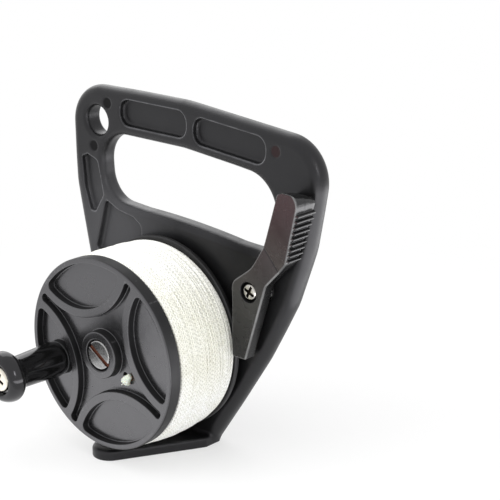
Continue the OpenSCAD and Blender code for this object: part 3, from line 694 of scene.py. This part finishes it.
FLANGE_R = 44.6
FLANGE_EDGE = 0.9
RIM_IN = 42.0
PETALS = 4
PETAL_R = 31.0
PETAL_D = 52.2
PETAL_CORNER = 2.5
STAR_R = 35.0
STAR_CORNER = 1.63
RELIEF_TURN = 17.5
RELIEF_EDGE = 0.25
CRANK_PAD_R = 8.0
HUB_R = 11
HUB_EDGE = 0.7
HEAD_SINK_R = 7.4
HEAD_SINK_Y = -42.5
HEAD_SINK_EDGE = 0.35
BUSH_R = 6.3
KNOT_HOLE_R = 1.4


def relief_corner(from_axle, from_petal):
    """Centre of a corner at two distances, and its turn about the axle and about the petal's centre."""
    u = (PETAL_D ** 2 + from_axle * from_axle - from_petal * from_petal) / (2 * PETAL_D)
    v = math.sqrt(from_axle * from_axle - u * u)
    return u, v, math.degrees(math.atan2(v, u)), math.degrees(math.atan2(v, u - PETAL_D))


def petal():
    """Outline of one pocket between the rim and an arm of the star."""
    u, v, rim, turn = relief_corner(RIM_IN - PETAL_CORNER, PETAL_R - PETAL_CORNER)
    return (arc((0, 0), RIM_IN, -rim, rim, 40) + arc((u, v), PETAL_CORNER, rim, turn, 10)
            + arc((PETAL_D, 0), PETAL_R, turn, 360 - turn, 40) + arc((u, -v), PETAL_CORNER, -turn, -rim, 10))


def star():
    """Outline of the star-shaped floor between the petals."""
    u, v, rim, turn = relief_corner(RIM_IN - STAR_CORNER, STAR_R + STAR_CORNER)
    arm = (arc((PETAL_D, 0), STAR_R, 360 - turn, turn, 30) + arc((u, v), STAR_CORNER, turn - 180, rim, 8)
           + arc((0, 0), RIM_IN, rim, 90 - rim, 3) + arc((v, u), STAR_CORNER, 90 - rim, 270 - turn, 8))
    return [p for k in range(PETALS) for p in spin(arm, 90 * k)]


def spin(points, turn):
    """Points turned about the axle."""
    c, s = cos_sin(turn)
    return [(u * c - v * s, u * s + v * c) for u, v in points]


def flange_shell():
    """Disc with its relief, hub, crank pad, bore and hole for the line."""
    step, reach = 0.25, 45.6
    lo, hi = (-reach, -48.2, AXLE_Z - reach), (reach, -38.8, AXLE_Z + reach)
    x, y, z = axes(lo, hi, step)
    v = z - AXLE_Z
    r = np.hypot(x, v)
    field = meet(meet(r - FLANGE_R, Y_FACE - y, FLANGE_EDGE), y - Y_FRONT, SOFT)
    field = np.minimum(field, np.maximum(meet(r - HUB_R, Y_HUB - y, HUB_EDGE), y - Y_WEB))
    crank_pad = np.hypot(x - CRANK[0], z - CRANK[1]) - CRANK_PAD_R
    relief = np.maximum(outline_field(x, v, spin(star(), RELIEF_TURN)), HUB_R - r)
    for k in range(PETALS):
        relief = np.minimum(relief, outline_field(x, v, spin(petal(), RELIEF_TURN + 90 * k)))
    relief = np.maximum(relief, -crank_pad)
    field = cut(field, meet(relief, y - Y_WEB, RELIEF_EDGE), RELIEF_EDGE)
    field = cut(field, np.maximum(r - HEAD_SINK_R, y - HEAD_SINK_Y), HEAD_SINK_EDGE)
    field = np.maximum(field, BUSH_R - r)
    field = cut(field, np.hypot(x - KNOT[0], z - KNOT[1]) - KNOT_HOLE_R, RELIEF_EDGE)
    return surface(field, lo, step)


# The walls of its relief lose their gloss as painted shade
flange_plastic = plastic("flange_plastic", (20, 27), 0.24, 2.02, (3000, 0.03), 60, (0.99, 0.99, 1.02),
                         walls=0.12)
piece("flange_disc", flange_shell(), flange_plastic, "spool", ["front_flange"], keep=0.4)


# Brake lever: arm, tilted thumb pad and ribs, in places from the pivot

# Corners as x, z and corner radius
LEVER = [(-9.7, -32.1, 1), (-9.7, -4, 10), (-10.1, 2.8, 6), (1.4, 11.4, 16), (8.6, 22.8, 3),
         (20.6, 51.3, 5.5), (33.6, 51.3, 5.5), (21.9, 17.5, 3), (9.8, 4.6, 4), (-1.8, -32.1, 1)]
PAD = [(8.6, 22.8, 0.5), (20.6, 51.3, 5.5), (33.6, 51.3, 5.5), (21.9, 17.5, 3), (17.5, 12.8, 0.5)]
LEVER_FRONT = -8.5
LEVER_BACK = -2.5
LEVER_EDGE = 0.75
# The pad leans forward from a crease across the lever, and its top falls to the rear
CREASE = (8.6, 22.8)
CREASE_WAY = (0.747, 0.665)
CREASE_HALF = 0.25
CREASE_DEPTH = 0.3
PAD_SLOPE = 0.167
PAD_BACK = -1.2
PAD_EDGE = 0.8
PAD_TOP = 51.3
PAD_TOP_Y = -14
PAD_FALL = math.radians(17)
PAD_TOP_EDGE = 2.6
RIBS = 9
RIB_LOW = (22.6, 19.5)
RIB_HIGH = (30.3, 41.6)
RIB_HALF = 0.55
RIB_OUT = 1.5
RIB_ROOT = 2.0
RIB_SETBACK = 0.35
PEG = (-7, -3.9)
PEG_R = 1.2
PEG_ROOT = 1
PEG_END = -0.3
LEVER_SINK_R = 4.65
LEVER_SINK_Y = -5.3
LEVER_BORE_R = 3.55
# Painted light on the lever's front by height, brighter up the arm and reddish on the pad: low and high end,
# stops, and the height below which the sides are dull as painted shade
LEVER_STOPS = ((0.0, WHITE), (0.36, (3.0, 2.95, 2.7)), (0.62, (3.2, 2.4, 2.3)), (1.0, (2.8, 0.6, 0.7)))
LEVER_HEIGHT_LIGHT = (58, 128, LEVER_STOPS, 98)


def past_crease(u, v):
    """Distance up the pad from the crease."""
    return (u - CREASE[0]) * CREASE_WAY[0] + (v - CREASE[1]) * CREASE_WAY[1]


def rib_fields(u, v, y, front, lean):
    """Field of each rib along the pad's right side."""
    along = Vector((RIB_HIGH[0] - RIB_LOW[0], RIB_HIGH[1] - RIB_LOW[1]))
    way = along.normalized()
    for i in range(RIBS):
        p = Vector(RIB_LOW) + along * i / (RIBS - 1)
        across = (u - p.x) * way.x + (v - p.y) * way.y
        out = (u - p.x) * way.y - (v - p.y) * way.x
        rib = meet(meet(np.abs(across) - RIB_HALF, out - RIB_OUT, 0.35), -RIB_ROOT - out, TIGHT)
        yield meet(meet(rib, (front + RIB_SETBACK - y) * lean, SOFT), y - PAD_BACK, SMALL)


def lever_shell():
    """Arm and pad with the crease, ribs, spring peg and pivot hole."""
    step = 0.22
    lo, hi = (PIVOT[0] - 12, -16.2, PIVOT[1] - 34), (PIVOT[0] + 36.5, 1.2, PIVOT[1] + 53.5)
    x, y, z = axes(lo, hi, step)
    u, v = x - PIVOT[0], z - PIVOT[1]
    top = (v - PAD_TOP) * math.cos(PAD_FALL) + (y - PAD_TOP_Y) * math.sin(PAD_FALL)
    shape = meet(outline_field(u, v, rounded(LEVER)), top, PAD_TOP_EDGE)
    arm = meet(meet(shape, LEVER_FRONT - y, LEVER_EDGE), y - LEVER_BACK, SMALL)
    rise = past_crease(u, v)
    front = LEVER_FRONT - PAD_SLOPE * rise
    lean = 1 / math.hypot(1, PAD_SLOPE)
    shape = meet(outline_field(u, v, rounded(PAD)), top, PAD_TOP_EDGE)
    pad = meet(meet(shape, (front - y) * lean, PAD_EDGE), y - PAD_BACK, SOFT)
    field = join(arm, pad, SMALL)
    crease = np.maximum(np.abs(rise) - CREASE_HALF, y - LEVER_FRONT - CREASE_DEPTH)
    field = cut(field, crease, FINE)
    for rib in rib_fields(u, v, y, front, lean):
        field = np.minimum(field, rib)
    peg = np.hypot(u - PEG[0], v - PEG[1]) - PEG_R
    field = np.minimum(field, np.maximum(np.maximum(peg, LEVER_BACK - PEG_ROOT - y), y - PEG_END))
    hole = np.hypot(u, v)
    field = cut(field, np.maximum(hole - LEVER_SINK_R, y - LEVER_SINK_Y), SMALL)
    field = np.maximum(field, LEVER_BORE_R - hole)
    return surface(field, lo, step)


def mark_lever_edges(mesh):
    """Painted highlights along the lever's front edges: bright on the right of the arm, fainter on the pad
    and the left.
    """
    x, y, z = places(mesh)
    u, v = x - PIVOT[0], z - PIVOT[1]
    edge, half_width, depth = 0.3, 0.5, 0.9
    dx = 0.3
    outline = rounded(LEVER)
    rise = past_crease(u, v)
    near = 1 - np.abs(outline_field(u, v, outline) + edge) / half_width
    right = outline_field(u + dx, v, outline) > outline_field(u - dx, v, outline)
    lip = near * np.where(right, np.where(rise < 0, 0.9, 0.6), np.where(rise < 0, 0.45, 0.1))
    keep_lip(mesh, lip * (y < LEVER_FRONT + depth - PAD_SLOPE * np.maximum(rise, 0)))


lever_plastic = plastic("lever_plastic", (20, 27), 0.26, 1.47, (2600, 0.14), 130, height_light=LEVER_HEIGHT_LIGHT,
                        edge_highlight="lip")
lever_body = piece("lever_body", lever_shell(), lever_plastic, "brake", ["brake_lever"],
                   keep=0.4)
mark_lever_edges(lever_body.data)


# Crank knob: collar, tapered grip and bulb with a sunk end

def knob_profile():
    """Half section of the knob as (radius, y), from the collar to the sunk end."""
    base, neck, bulb, sink, bore = 8.3, 7.5, 11.75, 7.2, 3.05
    y_base, y_neck, y_bulb, y_end, y_seat = -46.3, -69.77, -75.87, -81.5, -77.1
    collar, chamfer, collar_h, groove, shoulder, lip, taper = 0.4, 0.3, 1.7, 2.3, 0.35, 0.8, 1.3
    points = [(bore, y_base), (base - collar - chamfer, y_base), (base - collar, y_base - chamfer),
              (base - collar, y_base - collar_h)]
    y_grip = y_base - groove
    for a in np.radians(np.linspace(0, 90, 6)):
        points.append((base - shoulder + shoulder * math.sin(a), y_grip + shoulder * math.cos(a)))
    for s in np.linspace(0, 1, 28)[1:]:
        points.append((neck + (base - neck) * (1 - s) ** taper, y_grip + (y_neck - y_grip) * s))
    for s in np.linspace(0, 1, 31)[1:]:
        swell = (1 - math.cos(math.pi * s)) / 2
        points.append((neck + (bulb - neck) * swell, y_neck + (y_bulb - y_neck) * s))
    for a in np.radians(np.linspace(0, 90, 25)[1:]):
        r = sink + lip + (bulb - sink - lip) * math.cos(a)
        points.append((r, y_bulb - (y_bulb - y_end) * math.sin(a)))
    for a in np.radians(np.linspace(0, 90, 5)[1:]):
        points.append((sink + lip - lip * math.sin(a), y_end + lip - lip * math.cos(a)))
    return points + [(sink, y_seat - chamfer), (sink - chamfer, y_seat), (bore, y_seat)]


knob_plastic = plastic("knob_plastic", (14, 19), 0.11, 1.5, (2200, 0.03), 20)
piece("knob_grip", lathe(knob_profile(), CRANK, 120), knob_plastic, "knob", ["crank_knob"])


# Screws and nuts

def bar(u, v, turn, length, width):
    """Field of one bar of a recess, turned about the screw."""
    c, s = cos_sin(turn)
    along, across = u * c - v * s, u * s + v * c
    return meet(np.abs(along) - length / 2, np.abs(across) - width / 2, 0.15)


def head_grid(centre, radius, y0, y1, step):
    """Low corner of a grid round a head or nut, with x from its centre, y, and z from its centre."""
    margin = 0.5
    reach = radius + margin
    lo = (centre[0] - reach, y0 - margin, centre[1] - reach)
    hi = (centre[0] + reach, y1 + margin, centre[1] + reach)
    x, y, z = axes(lo, hi, step)
    return lo, x - centre[0], y, z - centre[1]


def screw_shell(centre, radius, y_front, y_seat, edge, recess, depth):
    """Round head with a recess of bars given as (turn, length, width)."""
    step = 0.12
    lo, u, y, v = head_grid(centre, radius, y_front, y_seat, step)
    field = meet(meet(np.hypot(u, v) - radius, y_front - y, edge), y - y_seat, 0.15)
    shape = bar(u, v, *recess[0])
    for more in recess[1:]:
        shape = np.minimum(shape, bar(u, v, *more))
    field = cut(field, meet(shape, y - y_front - depth, 0.2), FINE)
    return surface(field, lo, step)


def shank_shell(centre, radius, y0, y1, thread):
    """Plain shank that ends in a thread of fine ridges and a chamfer."""
    pitch, depth, chamfer, inner = 0.7, 0.32, 0.6, 0.05
    root = radius - depth
    turns = int(thread / pitch)
    start = y1 - turns * pitch - pitch
    points = [(inner, y0), (radius, y0)]
    for i in range(turns):
        points += [(radius, start + i * pitch), (radius, start + (i + 0.2) * pitch),
                   (root, start + (i + 0.5) * pitch), (root, start + (i + 0.65) * pitch)]
    points += [(radius, y1 - pitch), (radius - chamfer, y1), (inner, y1)]
    return lathe(points, centre, 48)


def nut_shell(centre, width, bore, y0, y1, step):
    """Hexagon nut with both ends chamfered."""
    slope, chamfer_r = 0.45, width / 2 * 0.96
    lo, u, y, v = head_grid(centre, width / 2 / math.cos(math.pi / 6), y0, y1, step)
    r = np.hypot(u, v)
    field = None
    for turn in range(30, 390, 60):
        c, s = cos_sin(turn)
        side = u * c + v * s - width / 2
        field = side if field is None else meet(field, side, FINE)
    field = meet(field, np.maximum(y0 - y, y - y1), TIGHT)
    lean = 1 / math.sqrt(1 + slope ** 2)
    for way, end in ((1, y1), (-1, y0)):
        cone = (way * (y - end) + (r - chamfer_r) * slope) * lean
        field = meet(field, cone, TIGHT)
    return surface(cut(field, r - bore, SMALL), lo, step)


def cross(size):
    """Two bars of a cross recess."""
    return [(25, size, 1.4), (115, size, 1.4)]


bolt_steel = screw_metal("bolt_steel", (150, 182), 0.26, (-46.8, 1.0, (0.24, 0.11, 0.075)))
bolt = merge(screw_shell(AXLE, 6.8, -46.8, -43.8, 0.7, [(33, 15, 2.2)], 1.4),
             shank_shell(AXLE, 4.0, -43.9, 15.0, 9.0))
piece("bolt_body", bolt, bolt_steel, "frame", ["axle_bolt"])

# The near-black in the cross recess is painted shade
pivot_steel = screw_metal("pivot_steel", (176, 214), 0.2, (-8.2, 1.3, (0.025, 0.02, 0.015)), (1, 0.97, 0.9))
pivot_bolt = merge(screw_shell(PIVOT, 4.1, -8.2, -5.6, 2.0, cross(5.8), 1.5),
                   shank_shell(PIVOT, 2.0, -5.7, 9.7, 4.0))
piece("pivot_bolt", pivot_bolt, pivot_steel, "frame", ["pivot_screw"])

# The near-black in the cross recess is painted shade
knob_steel = screw_metal("knob_steel", (214, 240), 0.24, (-81.0, 1.3, (0.03, 0.025, 0.02)), (1, 0.95, 0.84))
knob_bolt = merge(screw_shell(CRANK, 6.0, -81.0, -78.4, 1.5, cross(6.9), 1.4),
                  shank_shell(CRANK, 2.0, -78.5, -68.4, 4.0))
piece("knob_bolt", knob_bolt, knob_steel, "spool", ["knob_screw"])

plain_steel = metal("plain_steel", (170, 200), 0.3)
axle_hex = nut_shell(AXLE, 13, AXLE_BORE_R, 7.0, 13.5, 0.16)
piece("axle_hex", axle_hex, plain_steel, "frame", ["axle_nut"])
pivot_hex = nut_shell(PIVOT, 7, PIVOT_BORE_R, 6.0, 9.2, 0.12)
piece("pivot_hex", pivot_hex, plain_steel, "frame", ["pivot_nut"])


# Winding: turns of braided line laid to and fro over a core

LINE_R = 1.3 / 2
EDGE_GAP = LINE_R + 0.2


def cord(path, radius):
    """Tube along a path, with a map of its length and turn for the braid."""
    sides, braid_repeat = 8, 1.9
    path = np.asarray(path)
    t = np.gradient(path, axis=0)
    t /= np.linalg.norm(t, axis=1)[:, None]
    u = np.cross(t, (0, 1, 0))
    u /= np.linalg.norm(u, axis=1)[:, None]
    v = np.cross(u, t)
    turns = np.linspace(0, 2 * math.pi, sides, endpoint=False)
    rings = path[:, None, :] + radius * (u[:, None, :] * np.cos(turns)[None, :, None]
                                         + v[:, None, :] * np.sin(turns)[None, :, None])
    i, k = np.meshgrid(np.arange(len(path) - 1), np.arange(sides), indexing="ij")
    k2 = (k + 1) % sides
    quads = np.stack([i * sides + k, i * sides + k2, (i + 1) * sides + k2, (i + 1) * sides + k], -1)
    length = np.concatenate([[0], np.cumsum(np.linalg.norm(np.diff(path, axis=0), axis=1))])
    along = np.stack([length[i], length[i], length[i + 1], length[i + 1]], -1).reshape(-1, 4)
    around = np.stack([k, k + 1, k + 1, k], -1).reshape(-1, 4) / sides
    return rings.reshape(-1, 3), quads.reshape(-1, 4), np.stack([along / braid_repeat, around], -1)


def slow_noise(t, seed, waves):
    """Smooth repeatable wander along a path."""
    rng = np.random.default_rng(seed)
    out = np.zeros_like(t)
    for f in waves:
        out += np.sin(t * f * rng.uniform(0.8, 1.2) + rng.uniform(0, 2 * math.pi))
    return out / len(waves)


def barrel(y, turn):
    """Radius of the winding: overfull in the middle, sagging below and thinner above at the rear."""
    s = (y - Y_FRONT) / (Y_REAR - Y_FRONT)
    crown = 4 * s * (1 - s)
    low = 0.5 - 0.5 * np.sin(turn)
    high = np.maximum(np.sin(turn), 0)
    full, thin, swell, sag = 44.6, 0.7, 0.75, 0.9
    return full - thin * s * high ** 2 + swell * crown + sag * low ** 2 * crown


def winding(first, y0, y1, turns, sink, wander, seed):
    """Path of a layer of turns from y0 to y1 about the axle, with both ends buried."""
    step, gap, end_depth, end_turn, unevenness = 0.75 / 45, 0.05, 2.2, 0.35, 0.16
    t = np.arange(0, turns * 2 * math.pi, step)
    share = t / t[-1]
    y = y0 + (y1 - y0) * share + wander * slow_noise(t, seed, (1.3, 2.1, 0.37, 3.3))
    y = np.clip(y, Y_FRONT + LINE_R + gap, Y_REAR - LINE_R - gap)
    buried = end_depth * np.exp(-np.minimum(t, t[-1] - t) / end_turn)
    uneven = unevenness * slow_noise(t, seed + 7, (2.7, 0.9, 4.1))
    r = barrel(y, t + first) - LINE_R - sink - buried + uneven
    return np.stack([r * np.cos(t + first), y, AXLE_Z + r * np.sin(t + first)], 1)


def winding_core():
    """Bulk of the winding under its outer layers."""
    inner, shoulder, outer, middle = 13.1, 41.5, 43.1, 43.5
    gap, slope = 0.1, 0.6
    return lathe([(inner, Y_FRONT + gap), (shoulder, Y_FRONT + gap), (outer, Y_FRONT + slope),
                  (middle, (Y_FRONT + Y_REAR) / 2), (outer, Y_REAR - slope), (shoulder, Y_REAR - gap),
                  (inner, Y_REAR - gap)], AXLE, 120)


rear_end, front_end = Y_REAR - EDGE_GAP, Y_FRONT + EDGE_GAP
layers = [
    winding(3.5, rear_end, front_end, 30, 0.55, 0.15, 11),
    winding(1.1, front_end, rear_end, 29, 0.3, 0.5, 23),
    winding(0.4, rear_end - 1, front_end + 1, 7, 0.0, 1.4, 31),
    winding(4.0, front_end + 1, rear_end - 1, 5, 0.0, 1.8, 47),
]
tubes = [cord(path, LINE_R) for path in layers]
core = winding_core()
wound = merge(*[(p, q) for p, q, _ in tubes], core)
line_braid = braid("line_braid")
winding_piece = piece("winding", wound, line_braid, "spool", ["line_core", "line_layer"])
core_faces = len(core[1])
core_shift = 0.37
core_map = np.zeros((core_faces, 4, 2))
core_map[:, :, 0] = np.repeat(np.arange(core_faces) * core_shift, 4).reshape(-1, 4)
maps = np.concatenate([m for _, _, m in tubes] + [core_map])
winding_piece.data.uv_layers.new(name="braid").data.foreach_set("uv", maps.astype(np.float32).ravel())


# Knot: the line's inner end, melted beside its hole in the front flange

KNOT_Y = -45.0
# Lumps as x, y and z from the knot's middle, and radius
LUMPS = [(2.0, 0.9, -1.3, 1.9), (0.5, 1.1, -1.7, 1.4), (3.4, 1.2, 0.3, 1.4), (2.5, 1.1, -2.8, 1.25),
         (1.4, 0.6, -0.7, 1.2)]
# Loose thread on the floor, as x and z of its start and its run
HAIR_START = (0.2, -3.0)
HAIR_RUN = (-2.4, -2.2)
HAIR_R = 0.3
HAIR_H = 0.2


def hair_field(x, y, z):
    """Round thread along its run."""
    u, v = x - KNOT[0] - HAIR_START[0], z - KNOT[1] - HAIR_START[1]
    length = HAIR_RUN[0] ** 2 + HAIR_RUN[1] ** 2
    along = np.clip((u * HAIR_RUN[0] + v * HAIR_RUN[1]) / length, 0, 1)
    return np.sqrt((u - HAIR_RUN[0] * along) ** 2 + (y - Y_WEB + HAIR_H) ** 2
                   + (v - HAIR_RUN[1] * along) ** 2) - HAIR_R


def knot_shell():
    """Lumpy blob on the flange's floor that leaves the hole clear, with a loose thread."""
    step, low, high, blend, sunk, hole_r, clear = 0.12, 6.6, 6.0, 0.9, 0.02, 1.3, 50
    centre = np.array((KNOT[0], KNOT_Y, KNOT[1]))
    lo, hi = centre - low, centre + high
    x, y, z = axes(lo, hi, step)
    field = None
    for dx, dy, dz, r in LUMPS:
        ball = np.sqrt((x - centre[0] - dx) ** 2 + (y - centre[1] - dy) ** 2 + (z - centre[2] - dz) ** 2) - r
        field = ball if field is None else join(field, ball, blend)
    field = field + 0.14 * np.sin(2.3 * x + 1.1) * np.sin(2.1 * z) + 0.08 * np.sin(4.1 * x + 3.0 * z)
    field = join(field, hair_field(x, y, z), SMALL)
    hole = np.hypot(x - KNOT[0], z - KNOT[1]) < hole_r
    field = np.maximum(field, y - Y_WEB - sunk + clear * hole)
    return surface(field, lo, step)


piece("knot_bead", knot_shell(), melted("knot_bead"), "spool", ["line_knot"])


# CAD nodes that stay

rear_plastic = plastic("rear_plastic", (15, 20), 0.4, 1.45, (2600, 0.3), 44)
bearing_brass = metal("bearing_brass", (176, 200), 0.26, (1.0, 0.76, 0.4))
spring_steel = metal("spring_steel", (130, 160), 0.3)
white_nylon = nylon("nylon")
KEPT = [
    (bearing_brass, ("axle_sleeve", "pivot_sleeve")),
    (plain_steel, ("head_washer", "rear_washer", "crank_spindle", "knob_washer")),
    (white_nylon, ("thrust_washer", "front_bush", "rear_bush", "lever_washer")),
    (rear_plastic, ("spool_drum", "rear_flange")),
    (spring_steel, ("brake_spring",)),
]
for material, names in KEPT:
    for name in names:
        nodes[name].data.materials.clear()
        nodes[name].data.materials.append(material)


# Floor, light and camera

# The floor's own white grows from the object outwards: inner and outer distance, and share there
FLOOR_FADE = (0.05, 0.32, 0.6, 1.0)
WORLD_LIGHT = 0.75
WORLD_SEEN = 1.0
MIDDLE = (0.01, -0.02, 0.08)
# Lamps and cards as place, target, size and power. The cards show in gloss only, the lamps never do
LAMPS = {
    "key": ((-0.55, -0.85, 0.75), MIDDLE, (0.9, 0.9), 7.4),
    "top": ((0.1, -0.1, 1.1), MIDDLE, (1.0, 1.0), 5.4),
    "side": ((1.0, -0.5, 0.5), MIDDLE, (0.7, 0.7), 3),
}
CARDS = {
    "card": ((0.28, 0.05, 0.002), (0.28, 0.05, 1.0), (0.32, 0.7), 2.4),
    "horizon": ((-0.75, 0.5, 0.8), MIDDLE, (1.0, 1.1), 5.2),
    "strip": ((0.95, -0.45, 0.55), MIDDLE, (0.12, 0.3), 1.4),
    "fill": ((-0.05, -0.13, 0.002), (-0.05, -0.13, 1.0), (0.14, 0.15), 0.022),
}


def seen_rays(tree):
    """1 for the rays that show the background, 0 for those that light the object."""
    path = tree.nodes.new("ShaderNodeLightPath")
    ray = path.outputs["Is Camera Ray"]
    for kind in ("Is Glossy Ray", "Is Transmission Ray"):
        either = tree.nodes.new("ShaderNodeMath")
        either.operation = "MAXIMUM"
        tree.links.new(ray, either.inputs[0])
        tree.links.new(path.outputs[kind], either.inputs[1])
        ray = either.outputs["Value"]
    return ray


def stage_floor():
    """Pale floor that turns white away from the object and keeps its shadow."""
    mesh = bpy.data.meshes.new("floor")
    half = 6.0
    corners = [(-half, -half, 0), (half, -half, 0), (half, half, 0), (-half, half, 0)]
    mesh.from_pydata(corners, [], [(0, 1, 2, 3)])
    obj = bpy.data.objects.new("floor", mesh)
    scene.collection.objects.link(obj)
    m = Nodes("floor")
    m.shade("Base Color", m.ramp(m.noise(3, 2), (0.3, (0.86, 0.86, 0.86)), (0.7, (0.88, 0.88, 0.88))))
    m.shade("Roughness", 0.9)
    m.shade("Specular IOR Level", 0.0)
    length = m.add("ShaderNodeVectorMath", {0: m.coords}, operation="LENGTH").outputs["Value"]
    glow = m.add("ShaderNodeEmission").outputs["Emission"]
    share = m.calc("MULTIPLY", m.span(length, *FLOOR_FADE), seen_rays(m.tree))
    fade = m.add("ShaderNodeMixShader", {"Fac": share, 1: m.shader.outputs["BSDF"], 2: glow})
    m.feed(m.tree.nodes["Material Output"].inputs["Surface"], fade.outputs["Shader"])
    mesh.materials.append(m.material)


def softbox(name, place, target, size, power):
    """Rectangular light that looks from a place to a target."""
    light = bpy.data.lights.new(name, "AREA")
    light.shape = "RECTANGLE"
    light.size, light.size_y = size
    light.energy = power
    obj = bpy.data.objects.new(name, light)
    obj.location = place
    obj.rotation_euler = (Vector(target) - Vector(place)).to_track_quat("-Z", "Y").to_euler()
    scene.collection.objects.link(obj)
    return obj


def studio():
    """White world, lamps that light the object and cards for its gloss."""
    world = bpy.data.worlds.new("studio")
    scene.world = world
    world.use_nodes = True
    tree = world.node_tree
    back = tree.nodes["Background"]
    back.inputs["Color"].default_value = (*WHITE, 1)
    strength = tree.nodes.new("ShaderNodeMapRange")
    strength.inputs["To Min"].default_value = WORLD_LIGHT
    strength.inputs["To Max"].default_value = WORLD_SEEN
    tree.links.new(seen_rays(tree), strength.inputs["Value"])
    tree.links.new(strength.outputs["Result"], back.inputs["Strength"])
    for name, setting in LAMPS.items():
        softbox(name, *setting).visible_glossy = False
    for name, setting in CARDS.items():
        card = softbox(name, *setting)
        card.visible_camera = False
        card.visible_diffuse = False


def photo_camera():
    """Camera of the photo, solved from the flange's ellipses and the plate's edges."""
    azimuth, elevation, distance = math.radians(41.61), math.radians(17.73), 700 * MM
    target = Vector((49.16, 0, 101.17)) * MM
    flat = math.cos(elevation)
    way = Vector((math.sin(azimuth) * flat, -math.cos(azimuth) * flat, math.sin(elevation)))
    data = bpy.data.cameras.new("camera")
    data.lens = 114.76
    data.sensor_width = 36
    data.sensor_fit = "AUTO"
    data.clip_end = 50
    obj = bpy.data.objects.new("camera", data)
    obj.location = target + way * distance
    obj.rotation_euler = (-way).to_track_quat("-Z", "Y").to_euler()
    scene.collection.objects.link(obj)
    scene.camera = obj


stage_floor()
studio()
photo_camera()
scene.view_settings.view_transform = "Standard"
